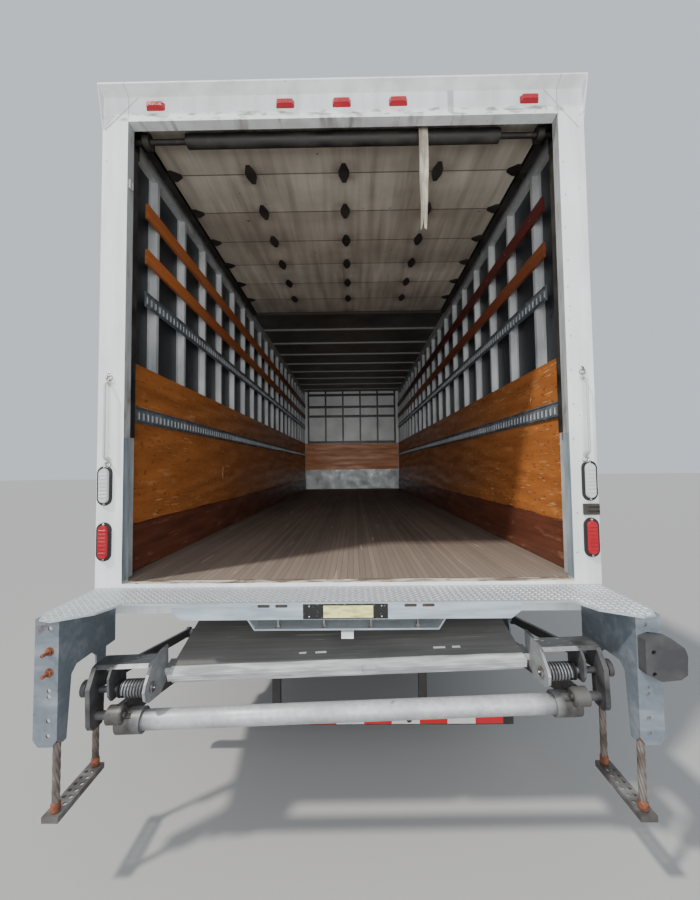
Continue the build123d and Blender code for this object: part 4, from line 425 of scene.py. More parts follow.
rusty_black = dark_steel("rusty_black", tint(40, 36, 33), tint(98, 60, 42), 0.6, 0.06)
pieces = []
for left, right in ((-0.104, -0.015), (0.021, 0.104)):
    pocket = plate("pocket", at(left, 0.026, -0.004), at(right, 0.040, 0.0012), 0.0005)
    worked(pocket, "FACE", lambda face: face.normal.z > 0.9)
    bpy.ops.mesh.inset(thickness=0.0016, depth=-0.003)
    pieces.append(done(pocket))
block = plate("slotted_block", at(1.212, -0.016, 0.330), at(1.290, 0.0, 0.386), 0.002, 2)
worked(block, "FACE", lambda face: face.normal.y < -0.9)
bpy.ops.mesh.subdivide(number_cuts=4)
bpy.ops.object.mode_set(mode="OBJECT")
for face in block.data.polygons:
    row = (face.center.z - at(0, 0, 0.330).z) / 0.056
    in_slot_row = 0.2 < row < 0.4 or 0.6 < row < 0.8
    face.select = face.normal.y < -0.9 and in_slot_row and face.center.x > 1.225
bpy.ops.object.mode_set(mode="EDIT")
bpy.ops.mesh.extrude_region_move(TRANSFORM_OT_translate={"value": (0, 0.010, 0)})
pieces.append(done(block))
hand_over(joined("frame_pockets", pieces), "root", rusty_black)

# Rear lamps. Red plastic lenses with moulded ribs, clear in the reversing lamps; those
# on the posts sit in black rubber grommets, each held by a screw at its top and foot.
lamp_red, tree, shader = new_finish("lamp_red", tint(196, 16, 30), 0.3)
shader.inputs["Coat Weight"].default_value = 0.2
height = above_floor(tree)
forward = ahead_of_frame(tree)
on_header = ranged(tree, height, 2.3, 2.31)
clear_part = between(tree, height, 0.38, 0.62, 0.002)
lens_colour = blended(tree, clear_part, tint(158, 4, 28), tint(190, 194, 192))
faded = cloudy(tree, place_at(tree), 9.0, 0.4, 0.8, 4)
lens_colour = blended(tree, faded, lens_colour, tint(226, 120, 112), 0.06)
in_grommet = sums(tree, "MULTIPLY", ranged(tree, forward, -0.0108, -0.0098),
                  sums(tree, "SUBTRACT", 1.0, on_header))
coloured(tree, shader, blended(tree, in_grommet, lens_colour, tint(22, 22, 23)))
tree.links.new(ranged(tree, in_grommet, 0, 1, 0.3, 0.7), shader.inputs["Roughness"])
rib = tree.nodes.new("ShaderNodeTexWave")
rib.bands_direction = "Z"
rib.inputs["Scale"].default_value = 52
tree.links.new(place_at(tree), rib.inputs["Vector"])
relief(tree, shader, rib.outputs["Fac"], 0.45, 0.002)
dress(lamp_red, "rear_lamps")
# Lens facets: ribs on each lens, and screws through the grommets.
lens_parts = []
screws = []
for side in (-1, 1):
    for low, high in ((0.400, 0.607), (0.115, 0.315)):
        x = side * 1.250
        middle = (low + high) / 2
        for step in range(-3, 4):
            z = middle + step * 0.019
            lens_parts.append(plate("rib", at(x - 0.019, -0.0232, z - 0.0055),
                                    at(x + 0.019, -0.0200, z + 0.0055), 0.0015))
        for z in (low + 0.009, high - 0.009):
            screws.append(at(x, -0.0090, z))
for x in (-1.007, -0.305, 0, 0.305, 1.007):
    for step in (-1, 0, 1):
        lens_parts.append(plate("rib", at(x + step * 0.016 - 0.005, -0.0238, 2.534),
                                at(x + step * 0.016 + 0.005, -0.021, 2.560), 0.0012))
hand_over(rounded_off(joined("lens_ribs", lens_parts)), "root", lamp_red)
screw = turned("screw", ((0, 0.0055), (0.002, 0.0055), (0.0034, 0.0035), (0.0022, 0.0016)), (0, 0, 0),
               (0, -1, 0), 12)
bright_steel, tree, shader = new_finish("bright_steel", tint(186, 188, 190), 0.3, 0.9)
dull = cloudy(tree, place_at(tree), 40.0, 0.35, 0.7, 5)
coloured(tree, shader, blended(tree, dull, tint(190, 192, 194), tint(120, 112, 104)))
hand_over(rounded_off(copied("lamp_screws", screw, screws)), "root", bright_steel)

# Grab rods. Round bar, once white, hooked at both ends into round steel eyelets whose
# feet are welded to the posts.
rod_finish = white_paint("rod_paint", tint(200, 202, 200), 0.5, 0.05)[0]
dress(rod_finish, "grab_rods")
eyes = []
for side in (-1, 1):
    for z, turn_out in ((0.612, 1), (1.068, -1)):
        bpy.ops.mesh.primitive_torus_add(major_segments=20, minor_segments=8, major_radius=0.013,
                                         minor_radius=0.004,
                                         location=at(side * 1.235, -0.0045, z),
                                         rotation=(math.radians(90), 0, 0))
        ring = settle(bpy.context.object, "eyelet")
        worked(ring, "VERT", lambda corner: corner.co.y < rear - 0.0045)
        bpy.ops.transform.translate(value=(0, -0.003, 0))
        eyes.append(done(ring))
        foot = turned("eyelet_foot", ((0, 0.011), (0.003, 0.011), (0.005, 0.007)),
                      at(side * 1.235, 0, z + turn_out * -0.018), (0, -1, 0), 14)
        eyes.append(foot)
hand_over(rounded_off(joined("rod_eyelets", eyes)), "root", bright_steel)

# Body walls. White sheet riveted to hat-section posts, aluminium rails along top and bottom and round corner
# posts in front; inside, the skin between light posts is painted dark as painted shade, and the front wall's
# sheets are pale.
half_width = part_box("roof")[1].x
front_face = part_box("roof")[1].y
wall_paint, tree, shader = white_paint("wall_sheet", tint(232, 234, 235), 0.2, -0.04)
outside_colour = shader.inputs["Base Color"].links[0].from_socket
from_middle = axis_of(tree, "X", away=True)
along = axis_of(tree, "Y")
# Painted shade: inside, the skin between the posts is painted near black, standing for the shade there.
skin_inside = between(tree, from_middle, half_width - 0.0035, half_width - 0.0015, 0.0004)
post_grime = cloudy(tree, place_at(tree, (4, 4, 1.5)), 2.0, 0.3, 0.8, 5)
post_colour = blended(tree, post_grime, tint(196, 199, 200), tint(142, 145, 146))
inner = blended(tree, skin_inside, post_colour, tint(48, 52, 56))
front_grime = cloudy(tree, place_at(tree), 3.0, 0.3, 0.8, 5)
front_sheet = blended(tree, front_grime, tint(240, 242, 240), tint(206, 209, 208))
inner = blended(tree, ranged(tree, along, front_face - 0.0038, front_face - 0.0031), inner, front_sheet)
# The front wall's own ribs and bars are dark against its sheets.
rib_face = between(tree, along, front_face - 0.060, front_face - 0.0040, 0.0005)
inside_walls = ranged(tree, from_middle, 1.19, 1.20, 1, 0)
inner = blended(tree, sums(tree, "MULTIPLY", rib_face, inside_walls), inner, tint(34, 35, 36))
outermost = sums(tree, "MAXIMUM", ranged(tree, from_middle, half_width - 0.0016, half_width - 0.0010),
                 ranged(tree, along, front_face - 0.0012, front_face - 0.0008))
on_rail = ranged(tree, from_middle, half_width + 0.0030, half_width + 0.0036)
rail_metal = blended(tree, post_grime, tint(190, 194, 197), tint(146, 148, 150))
outer = blended(tree, on_rail, outside_colour, rail_metal)
coloured(tree, shader, blended(tree, outermost, inner, outer))
dress(wall_paint, "box_walls")


# Wall rivets. Domed aluminium rivets driven from outside: two rows on every post, one
# along each rail, and six rows up the front wall.
def modified(piece, kind, **settings):
    """Add a modifier with these settings, and apply it."""
    alone(piece)
    modifier = piece.modifiers.new(kind.lower(), kind)
    for name, value in settings.items():
        setattr(modifier, name, value)
    bpy.ops.object.modifier_apply(modifier=modifier.name)
    return piece


def in_a_row(piece, count, step):
    """The piece repeated this many times, each one a step on from the last."""
    return modified(piece, "ARRAY", count=count, use_relative_offset=False, use_constant_offset=True,
                    constant_offset_displace=step)


def mirrored(piece):
    """The piece and its mirror image on the truck's other side."""
    return modified(piece, "MIRROR", use_mirror_merge=False)


FIRST_POST = 0.500
POST_PITCH = 0.4064
POST_COUNT = 19
rivet_head = ((0, 0.0052), (0.0010, 0.0052), (0.0024, 0.0028))
rivet = turned("rivet", rivet_head, (half_width - 0.0002, 0, 0), (1, 0, 0), 8)
rivet.data.transform(Matrix.Translation(at(0, FIRST_POST - 0.032, 0.085)))
in_a_row(rivet, 2, (0, 0.064, 0))
in_a_row(rivet, 26, (0, 0, 0.0925))
in_a_row(rivet, POST_COUNT, (0, POST_PITCH, 0))
rivet.name = "post_rows"
rail_rivet = turned("rail_rivet", ((0, 0.0058), (0.0010, 0.0058), (0.0026, 0.003)),
                    (half_width + 0.0048, 0, 0), (1, 0, 0), 8)
rail_rivet.data.transform(Matrix.Translation(at(0, 0.110, -0.105)))
in_a_row(rail_rivet, 79, (0, 0.1016, 0))
upper = twin(rail_rivet)
upper.data.transform(Matrix.Translation((0, 0, 2.655)))
side_rivets = mirrored(joined("side_rivets", [rivet, rail_rivet, upper]))
front_rivet = turned("front_rivet", rivet_head, (0, front_face - 0.0002, 0), (0, 1, 0), 8)
front_rivet.data.transform(Matrix.Translation(at(-1.150, -rear, -0.080)))
in_a_row(front_rivet, 28, (0, 0, 0.0945))
in_a_row(front_rivet, 6, (0.460, 0, 0))
rivets = joined("wall_rivets", [side_rivets, front_rivet])
rivet_metal, tree, shader = new_finish("rivet_heads", tint(206, 208, 208), 0.4, 0.2)
soiled = cloudy(tree, place_at(tree), 4.0, 0.4, 0.75, 5)
coloured(tree, shader, blended(tree, soiled, tint(210, 212, 213), tint(150, 146, 140)))
hand_over(rivets, "root", rivet_metal)

# Roof. One aluminium sheet riveted over cross bows, pale on top with the marks of
# dried puddles; underneath, the sheet and the bows are painted dark grey as painted shade.
roof_finish, tree, shader = new_finish("roof_sheet", tint(150, 152, 152), 0.5, 0.3)
height = axis_of(tree, "Z")
roof_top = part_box("roof")[1].z
grime_and_shade_mottle = cloudy(tree, place_at(tree), 2.5, 0.3, 0.8, 5)
puddled = cloudy(tree, place_at(tree, (1, 0.6, 1)), 1.2, 0.5, 0.62, 6)
upper = blended(tree, grime_and_shade_mottle, tint(206, 208, 208), tint(160, 160, 156))
upper = blended(tree, puddled, upper, tint(128, 124, 116), 0.5)
# Painted shade: the sheet's underside is painted mid grey and the bows below it darker, mottled by the same
# noise as the grime on top.
under = blended(tree, grime_and_shade_mottle, tint(104, 103, 100), tint(62, 60, 57))
sheet_under = ranged(tree, height, roof_top - 0.006, roof_top - 0.0035)
under = blended(tree, sheet_under, tint(128, 126, 122), under, 1.0)
on_top = ranged(tree, height, roof_top - 0.0012, roof_top - 0.0004)
coloured(tree, shader, blended(tree, on_top, under, upper))
dress(roof_finish, "roof")

# Load floor. Laminated hardwood strips laid lengthwise and screwed down on steel
# cross sills, worn grey-brown, with long gouges, and painted paler towards the door as painted daylight.
deck, tree, shader = new_finish("deck_wood", tint(126, 112, 100), 0.72)
STRIP_WIDTH = 0.034
strip = sums(tree, "DIVIDE", axis_of(tree, "X"), STRIP_WIDTH)
strip_share = sums(tree, "FRACT", strip, 0)
strip_tone = tree.nodes.new("ShaderNodeTexWhiteNoise")
strip_tone.noise_dimensions = "1D"
tree.links.new(sums(tree, "FLOOR", strip, 0), strip_tone.inputs["W"])
seams = sums(tree, "MAXIMUM", ranged(tree, strip_share, 0.0, 0.07, 1, 0),
             ranged(tree, strip_share, 0.95, 1.0, 0, 1))
grain = cloudy(tree, place_at(tree, (60, 2.2, 1)), 1.0, 0.25, 0.75, 6)
wear = cloudy(tree, place_at(tree, (3.0, 0.8, 1)), 1.0, 0.3, 0.75, 6)
gouges = cloudy(tree, place_at(tree, (26, 1.6, 1)), 1.0, 0.66, 0.70, 6)
# Painted light: the floor is painted paler from the door to about 1.3 m in, where daylight falls in.
near_door = ranged(tree, ahead_of_frame(tree), 0.05, 1.3, 1, 0)
wood = blended(tree, strip_tone.outputs["Value"], tint(122, 106, 94), tint(88, 75, 67))
wood = blended(tree, grain, wood, tint(66, 56, 50), 0.5)
wood = blended(tree, wear, wood, tint(138, 124, 112), 0.45)
wood = blended(tree, near_door, wood, tint(142, 130, 118), 0.35)
wood = blended(tree, gouges, wood, tint(176, 162, 146), 0.5)
wood = blended(tree, seams, wood, tint(38, 33, 30), 0.7)
coloured(tree, shader, wood)
relief(tree, shader, sums(tree, "SUBTRACT", grain, seams), 0.35, 0.0015)
dress(deck, "box_floor")
dress(dark_steel("frame_steel", tint(42, 43, 44), tint(98, 72, 56), 0.6), "floor_frame")

# Wall lining. Sheets of orange varnished plywood screwed to the posts, scuffed pale by pallets, with a darker
# band of scuffed boards along their foot.
plywood, tree, shader = new_finish("plywood", tint(176, 108, 48), 0.38)
height = above_floor(tree)
figure = cloudy(tree, place_at(tree, (1, 1.2, 9)), 1.6, 0.25, 0.75, 7)
flame = tree.nodes.new("ShaderNodeTexWave")
flame.wave_type = "RINGS"
for socket, value in (("Scale", 0.9), ("Distortion", 9), ("Detail", 3)):
    flame.inputs[socket].default_value = value
tree.links.new(place_at(tree, (1, 0.6, 2.4)), flame.inputs["Vector"])
grain = sums(tree, "ADD", sums(tree, "MULTIPLY", figure, 0.7),
             sums(tree, "MULTIPLY", flame.outputs["Fac"], 0.3))
varnish = blended(tree, grain, tint(196, 122, 62), tint(140, 82, 38))
patches = cloudy(tree, place_at(tree, (1, 0.5, 0.8)), 1.3, 0.35, 0.7, 4)
varnish = blended(tree, patches, varnish, tint(118, 68, 28), 0.4)
scuffed = cloudy(tree, place_at(tree, (1, 2.5, 11)), 2.0, 0.60, 0.74, 7)
varnish = blended(tree, scuffed, varnish, tint(216, 168, 116), 0.35)
handled = cloudy(tree, place_at(tree, (1, 0.9, 1.6)), 1.4, 0.42, 0.62, 3)
scratched = sums(tree, "MULTIPLY", cloudy(tree, place_at(tree, (1, 3.0, 34)), 2.4, 0.61, 0.66, 7), handled)
varnish = blended(tree, scratched, varnish, tint(230, 198, 154), 0.6)
rubs = cloudy(tree, place_at(tree, (1, 9, 26)), 2.2, 0.61, 0.65, 7)
varnish = blended(tree, rubs, varnish, tint(98, 56, 28), 0.55)
chipped = cloudy(tree, place_at(tree, (1, 5, 3)), 1.6, 0.71, 0.73, 6)
varnish = blended(tree, chipped, varnish, tint(228, 198, 152), 0.8)
on_front = ranged(tree, axis_of(tree, "Y"), front_face - 0.12, front_face - 0.10)
varnish = blended(tree, on_front, varnish, blended(tree, grain, tint(232, 142, 60), tint(176, 100, 42)), 0.8)
SHEET_WIDTH = 1.2192
along_wall = sums(tree, "SUBTRACT", axis_of(tree, "Y"), rear + 0.08)
joint = sums(tree, "FRACT", sums(tree, "DIVIDE", along_wall, SHEET_WIDTH), 0)
varnish = blended(tree, ranged(tree, joint, 0.0, 0.004, 1, 0), varnish, tint(60, 34, 18), 0.9)
SCUFF_TOP = 0.265
foot_edge = cloudy(tree, place_at(tree, (1, 7, 1)), 1.0, 0.2, 0.8, 5)
band_line = sums(tree, "ADD", height, sums(tree, "MULTIPLY", foot_edge, -0.02))
in_band = ranged(tree, band_line, SCUFF_TOP - 0.004, SCUFF_TOP, 1, 0)
band = blended(tree, figure, tint(118, 66, 46), tint(74, 42, 31))
board_line = sums(tree, "FRACT", sums(tree, "DIVIDE", height, 0.045), 0)
band = blended(tree, ranged(tree, board_line, 0.0, 0.08, 1, 0), band, tint(36, 24, 20), 0.8)
band = blended(tree, scuffed, band, tint(170, 126, 98), 0.5)
coloured(tree, shader, blended(tree, in_band, varnish, band))
tree.links.new(ranged(tree, grain, 0, 1, 0.3, 0.55), shader.inputs["Roughness"])
relief(tree, shader, grain, 0.2, 0.002)
dress(plywood, "wall_lining")
# Screws that hold the plywood to every post.
lining_screw = turned("lining_screw", ((0, 0.006), (0.0006, 0.006), (0.0012, 0.004)), (1.2368, 0, 0),
                      (-1, 0, 0), 8)
lining_screw.data.transform(Matrix.Translation(at(0, FIRST_POST, 0.36)))
for count, step in ((3, (0, 0, 0.38)), (19, (0, POST_PITCH, 0))):
    in_a_row(lining_screw, count, step)
hand_over(mirrored(lining_screw), "root", bright_steel)

# Slats. Two rows of varnished softwood boards, screwed along the posts above the
# plywood; the upper right one is darker and red.
slat_wood, tree, shader = new_finish("slat_wood", tint(150, 84, 44), 0.5)
grain = cloudy(tree, place_at(tree, (1, 1.4, 40)), 1.0, 0.25, 0.75, 6)
lengths = cloudy(tree, place_at(tree, (0.2, 0.35, 0.2)), 1.0, 0.4, 0.6, 1)
slat = blended(tree, lengths, tint(196, 112, 54), tint(140, 72, 44))
height = above_floor(tree)
upper_right = sums(tree, "MULTIPLY", ranged(tree, height, 2.0, 2.05),
                   ranged(tree, axis_of(tree, "X"), 0, 0.1))
slat = blended(tree, upper_right, slat, tint(104, 36, 34))
coloured(tree, shader, blended(tree, grain, slat, tint(66, 34, 24), 0.5))
relief(tree, shader, grain, 0.3, 0.0015)
dress(slat_wood, "wall_slats")
slat_screw = turned("slat_screws", ((0, 0.006), (0.0008, 0.006), (0.0016, 0.004)), (1.2288, 0, 0),
                    (-1, 0, 0), 8)
slat_screw.data.transform(Matrix.Translation(at(0, FIRST_POST, 1.916)))
for count, step in ((2, (0, 0, 0.29)), (19, (0, POST_PITCH, 0))):
    in_a_row(slat_screw, count, step)
hand_over(mirrored(slat_screw), "root", bright_steel)


# Wall rails. Cold-rolled galvanised track with a row of upright slots, screwed to the
# plywood and to the posts, blue-grey with dust; zinc guards stand beside the door's
# foot and a bright kick plate crosses the front wall.
def zinc(name, light, dark, rust=0.0):
    """Old galvanised steel: soft spangle, dull patches, rubbed streaks and a little rust."""
    material, tree, shader = new_finish(name, light, 0.5, 0.35)
    cells = tree.nodes.new("ShaderNodeTexVoronoi")
    cells.inputs["Scale"].default_value = 55
    tree.links.new(place_at(tree), cells.inputs["Vector"])
    spangle = tree.nodes.new("ShaderNodeSeparateXYZ")
    tree.links.new(cells.outputs["Color"], spangle.inputs[0])
    dull = cloudy(tree, place_at(tree), 5.0, 0.3, 0.75, 6)
    rubbed = cloudy(tree, place_at(tree, (3, 18, 18)), 1.0, 0.5, 0.75, 6)
    metal = blended(tree, spangle.outputs[0], light, dark, 0.3)
    metal = blended(tree, dull, metal, dark, 0.55)
    metal = blended(tree, rubbed, metal, tint(214, 218, 219), 0.22)
    rusty = cloudy(tree, place_at(tree), 11.0, 0.72 - rust, 0.80 - rust, 8)
    metal = blended(tree, rusty, metal, tint(96, 62, 44), 0.8)
    coloured(tree, shader, metal)
    tree.links.new(ranged(tree, dull, 0, 1, 0.38, 0.68), shader.inputs["Roughness"])
    relief(tree, shader, dull, 0.15, 0.004)
    return material, tree, shader


rail_metal, tree, shader = zinc("wall_rails", tint(120, 128, 134), tint(82, 88, 94))
dusty = shader.inputs["Base Color"].links[0].from_socket
height = above_floor(tree)
bright_low = ranged(tree, height, 0.80, 0.81, 1, 0)
kick = cloudy(tree, place_at(tree), 4.0, 0.35, 0.7, 6)
bright = blended(tree, kick, tint(214, 219, 219), tint(168, 174, 176))
coloured(tree, shader, blended(tree, bright_low, dusty, bright))
dress(rail_metal, "wall_rails")
TRACK_SLOT = 0.0508
track_finish, tree, shader = zinc("track_slots", tint(92, 100, 107), tint(64, 70, 76))
rim_colour = shader.inputs["Base Color"].links[0].from_socket
lower_face, upper_face = 1.2274, 1.2377
depth = axis_of(tree, "X", away=True)
height = above_floor(tree)
is_upper = ranged(tree, height, 1.3, 1.31)
upper_share = sums(tree, "MULTIPLY", is_upper, upper_face - lower_face)
below_rim = sums(tree, "SUBTRACT", depth, sums(tree, "ADD", upper_share, lower_face))
in_slot = ranged(tree, below_rim, -0.0012, -0.0006)
coloured(tree, shader, blended(tree, in_slot, rim_colour, tint(222, 227, 230)))
pieces = []
for face, low, start, count in ((lower_face, 0.860, 0.160, 155), (upper_face, 1.600, 0.356, 151)):
    bpy.ops.mesh.primitive_circle_add(vertices=12, radius=0.5, fill_type="NGON",
                                      rotation=(0, math.radians(-90), 0))
    slot = settle(bpy.context.object, "slot")
    worked(slot, "VERT", lambda corner: corner.co.z > 0.01)
    bpy.ops.transform.translate(value=(0, 0, 1.5))
    bpy.ops.mesh.select_all(action="SELECT")
    bpy.ops.transform.resize(value=(1, 0.021, 0.021), center_override=(0, 0, 0))
    bpy.ops.mesh.extrude_region_move(TRANSFORM_OT_translate={"value": (-0.0022, 0, 0)})
    bpy.ops.mesh.inset(thickness=0.0036)
    bpy.ops.mesh.extrude_region_move(TRANSFORM_OT_translate={"value": (0.0019, 0, 0)})
    done(slot)
    slot.data.transform(Matrix.Translation(at(face + 0.0001, start, low + 0.0265)))
    in_a_row(slot, count, (0, TRACK_SLOT, 0))
    pieces.append(slot)
    length = count * TRACK_SLOT
    for bead in (0.008, 0.087):
        pieces.append(plate("bead", at(face - 0.0035, start - 0.01, low + bead - 0.004),
                            at(face + 0.0005, start + length - 0.03, low + bead + 0.004), 0.0018))
hand_over(mirrored(joined("track_slots", pieces)), "root", track_finish)

# Roll-up door. Painted plywood panels hinged to each other, off-white gone grey-brown, each with its own
# tone, with dark seams and rust stains round the hinges; its tracks, hinges and springs are black steel.
panel_finish, tree, shader = new_finish("door_panel", tint(170, 160, 144), 0.65)
door_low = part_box("roll_door")[0]
PANEL_PITCH = 0.375
HINGE_COLUMN = 0.617
along = sums(tree, "SUBTRACT", axis_of(tree, "Y"), door_low.y)
panel = sums(tree, "DIVIDE", along, PANEL_PITCH)
tone = tree.nodes.new("ShaderNodeTexWhiteNoise")
tone.noise_dimensions = "1D"
tree.links.new(sums(tree, "FLOOR", panel, 0), tone.inputs["W"])
streaks = cloudy(tree, place_at(tree, (16, 1.2, 1)), 1.0, 0.35, 0.75, 6)
stains = cloudy(tree, place_at(tree, (1.5, 2.5, 1)), 1.0, 0.4, 0.8, 6)
spots = cloudy(tree, place_at(tree, (16, 16, 1)), 1.0, 0.73, 0.76, 6)
paint = blended(tree, tone.outputs["Value"], tint(212, 205, 192), tint(184, 176, 162))
paint = blended(tree, streaks, paint, tint(120, 110, 98), 0.7)
paint = blended(tree, stains, paint, tint(104, 95, 84), 0.5)
paint = blended(tree, spots, paint, tint(60, 50, 44), 0.7)
edge_share = sums(tree, "FRACT", panel, 0)
seam = sums(tree, "MAXIMUM", ranged(tree, edge_share, 0.0, 0.015, 1, 0),
            ranged(tree, edge_share, 0.975, 0.992, 0, 1))
across_seam = sums(tree, "MINIMUM", edge_share, sums(tree, "SUBTRACT", 1.0, edge_share))
off_column = sums(tree, "PINGPONG", sums(tree, "ADD", axis_of(tree, "X"), 10 * HINGE_COLUMN),
                  HINGE_COLUMN / 2)
stain_edge = cloudy(tree, place_at(tree, (14, 14, 1)), 1.0, 0.2, 0.8, 5)
near_hinge = sums(tree, "MULTIPLY", ranged(tree, across_seam, 0.04, 0.34, 1, 0),
                  ranged(tree, off_column, 0.03, 0.13, 1, 0))
paint = blended(tree, sums(tree, "MULTIPLY", near_hinge, stain_edge), paint, tint(72, 58, 46), 0.9)
paint = blended(tree, seam, paint, tint(58, 50, 42), 0.8)
coloured(tree, shader, paint)
relief(tree, shader, streaks, 0.15, 0.002)
dress(panel_finish, "roll_door")
dress(dark_steel("door_hardware_black", tint(18, 17, 17), tint(70, 56, 48), 0.6), "door_hardware")

# Pull strap. Worn white webbing nailed to the foot of the door's first panel, hanging loose behind the header
# and frayed at its end. It follows the same route as its solid, given here in metres.
strap_points = [
    at(0.455, 0.104, 2.5284),
    at(0.455, 0.090, 2.470),
    at(0.453, 0.084, 2.380),
    at(0.455, 0.086, 2.280),
    at(0.450, 0.085, 2.160),
    at(0.452, 0.090, 2.030),
    at(0.444, 0.092, 1.892),
]
STRAP_WIDTH = 0.052
STRAP_THICK = 0.0024
FRAYED_ENDS = (0.0, -0.004, -0.018, -0.034, -0.075, -0.030, -0.012, -0.020, -0.006)
route = bpy.data.curves.new("strap_route", "CURVE")
route.dimensions = "3D"
spline = route.splines.new("NURBS")
spline.points.add(len(strap_points) - 1)
for point, place in zip(spline.points, strap_points):
    point.co = (*place, 1)
spline.order_u = 3
spline.use_endpoint_u = True
spline.resolution_u = 8
line_object = bpy.data.objects.new("strap_route", route)
bpy.context.collection.objects.link(line_object)
bpy.context.view_layer.update()
line_mesh = bpy.data.meshes.new_from_object(line_object)
strap_line = [vertex.co.copy() for vertex in line_mesh.vertices]
bpy.data.objects.remove(line_object)

vertices = []
faces = []
uvs = []
travelled = 0.0
last = len(strap_line) - 1
for index, point in enumerate(strap_line):
    heading = (strap_line[min(index + 1, last)] - strap_line[max(index - 1, 0)]).normalized()
    if index:
        travelled += (point - strap_line[index - 1]).length
    share = index / last
    twist = math.radians(4 + 22 * share * share)
    crosswise = Vector((math.cos(twist), math.sin(twist), 0))
    facing = heading.cross(crosswise).normalized()
    narrowed = STRAP_WIDTH / 2 * (1 - 0.25 * max(0.0, share - 0.6) / 0.4)
    fraying = max(0.0, share - 0.85) / 0.15
    for number, ragged in enumerate(FRAYED_ENDS):
        along = number / 4 - 1
        curl = 0.004 * along * along * (0.3 + share)
        vertices.append(point + crosswise * along * narrowed + facing * curl + heading * ragged * fraying)
        uvs.append((along * STRAP_WIDTH / 2, travelled))
columns = len(FRAYED_ENDS)
for row in range(last):
    for number in range(columns - 1):
        a = row * columns + number
        faces.append((a, a + 1, a + columns + 1, a + columns))
strap_mesh = bpy.data.meshes.new("strap_webbing")
strap_mesh.from_pydata(vertices, [], faces)
layer = strap_mesh.uv_layers.new(name="weave")
for loop in strap_mesh.loops:
    layer.data[loop.index].uv = uvs[loop.vertex_index]
strap = bpy.data.objects.new("strap_webbing", strap_mesh)
bpy.context.collection.objects.link(strap)
modified(strap, "SOLIDIFY", thickness=STRAP_THICK, offset=0)
webbing, tree, shader = new_finish("strap_webbing", tint(196, 188, 172), 0.9)
weave = tree.nodes.new("ShaderNodeTexWave")
weave.bands_direction = "Y"
weave.inputs["Scale"].default_value = 380
tree.links.new(place_at(tree, (1, 1, 1), "UV"), weave.inputs["Vector"])
worn = cloudy(tree, place_at(tree, (60, 6, 1), "UV"), 1.0, 0.35, 0.62)
dirty = cloudy(tree, place_at(tree), 9, 0.35, 0.75)
light = blended(tree, worn, tint(215, 208, 194), tint(160, 150, 132))
coloured(tree, shader, blended(tree, dirty, light, tint(118, 108, 92)))
relief(tree, shader, weave.outputs["Fac"], 0.6, 0.0006)
hand_over(strap, "root", webbing)
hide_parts("pull_strap")


# Dock plate. Galvanised tread plate, folded down behind, with raised lugs pressed up that cross from left to
# right; the plate is cut back at both wings, and black plates behind the slots in its face are painted shade.
def about(axis, degrees):
    """A turn about one of the axes."""
    return Matrix.Rotation(math.radians(degrees), 4, axis)


galvanised, tree, shader = zinc("galvanised", tint(190, 197, 200), tint(138, 145, 150))
plain_zinc = shader.inputs["Base Color"].links[0].from_socket
# Painted shade: the faces turned back are painted a darker, bluer zinc than the top, lit only by the sky.
facing_back = ranged(tree, axis_of(tree, "Y", "Normal"), -0.9, -0.6, 1, 0)
wiped = cloudy(tree, place_at(tree, (2, 2, 14)), 2.0, 0.35, 0.7, 6)
shaded_face_zinc = blended(tree, wiped, tint(176, 188, 197), tint(132, 144, 154))
coloured(tree, shader, blended(tree, facing_back, plain_zinc, shaded_face_zinc))
dress(galvanised, "dock_plate")
LUG_PITCH = 0.030
DECK_BACK = -0.405
DECK_HALF = 1.272
plate_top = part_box("dock_plate")[1].z
face_back = -0.235
bpy.ops.mesh.primitive_circle_add(vertices=6, radius=0.5, fill_type="NGON")
lug = settle(bpy.context.object, "tread_lugs")
worked(lug, "FACE", lambda face: True)
bpy.ops.transform.resize(value=(0.024, 0.0075, 1), center_override=(0, 0, 0))
bpy.ops.mesh.extrude_region_move(TRANSFORM_OT_translate={"value": (0, 0, 0.0018)})
bpy.ops.transform.resize(value=(0.82, 0.5, 1), center_override=(0, 0, 0))
done(lug)
leaning = about("Z", 45)
half_step = Matrix.Translation((LUG_PITCH / 2, LUG_PITCH / 2, 0))
lug = copied("tread_lugs", lug, [leaning, half_step @ leaning.inverted()])
first_lug = Vector((-1.275, rear + DECK_BACK, plate_top - 0.0002))
lug.data.transform(Matrix.Translation(first_lug))
in_a_row(lug, 86, (LUG_PITCH, 0, 0))
in_a_row(lug, 14, (0, LUG_PITCH, 0))
wing_edge = ((face_back, 1.010), (-0.340, 1.060), (-0.420, 1.190))


def off_plate(corner):
    """Whether this corner belongs to a lug whose middle lies past the plate's edge."""
    middles = []
    for shift in (0, LUG_PITCH / 2):
        start = first_lug + Vector((shift, shift, 0))
        steps = [round((corner.co[n] - start[n]) / LUG_PITCH) for n in (0, 1)]
        middles.append(start + Vector((steps[0] * LUG_PITCH, steps[1] * LUG_PITCH, 0)))
    middle = min(middles, key=lambda spot: (spot.xy - corner.co.xy).length)
    x, y = abs(middle.x), middle.y - rear
    if x > DECK_HALF or y > -0.012:
        return True
    if y > face_back + 0.014:
        return False
    inner = max(a[1] + (a[0] - y) / (a[0] - b[0]) * (b[1] - a[1])
                for a, b in zip(wing_edge, wing_edge[1:]) if y > b[0] - 0.02)
    return x < inner + 0.014 or y < DECK_BACK or x + 0.5 * (-0.330 - y) > DECK_HALF


worked(lug, "VERT", off_plate)
bpy.ops.mesh.delete(type="VERT")
done(lug)
lug_metal = zinc("tread_lugs", tint(212, 217, 218), tint(166, 171, 174))[0]
hand_over(lug, "root", lug_metal)
# Painted shade: a black plate behind each slot in the face stands for the shade in the slots.
shade = plate("slot_shade", at(0.250, -0.2318, -0.052), at(0.415, -0.2286, -0.022), 0.0002)
hand_over(mirrored(shade), "root", rusty_black)

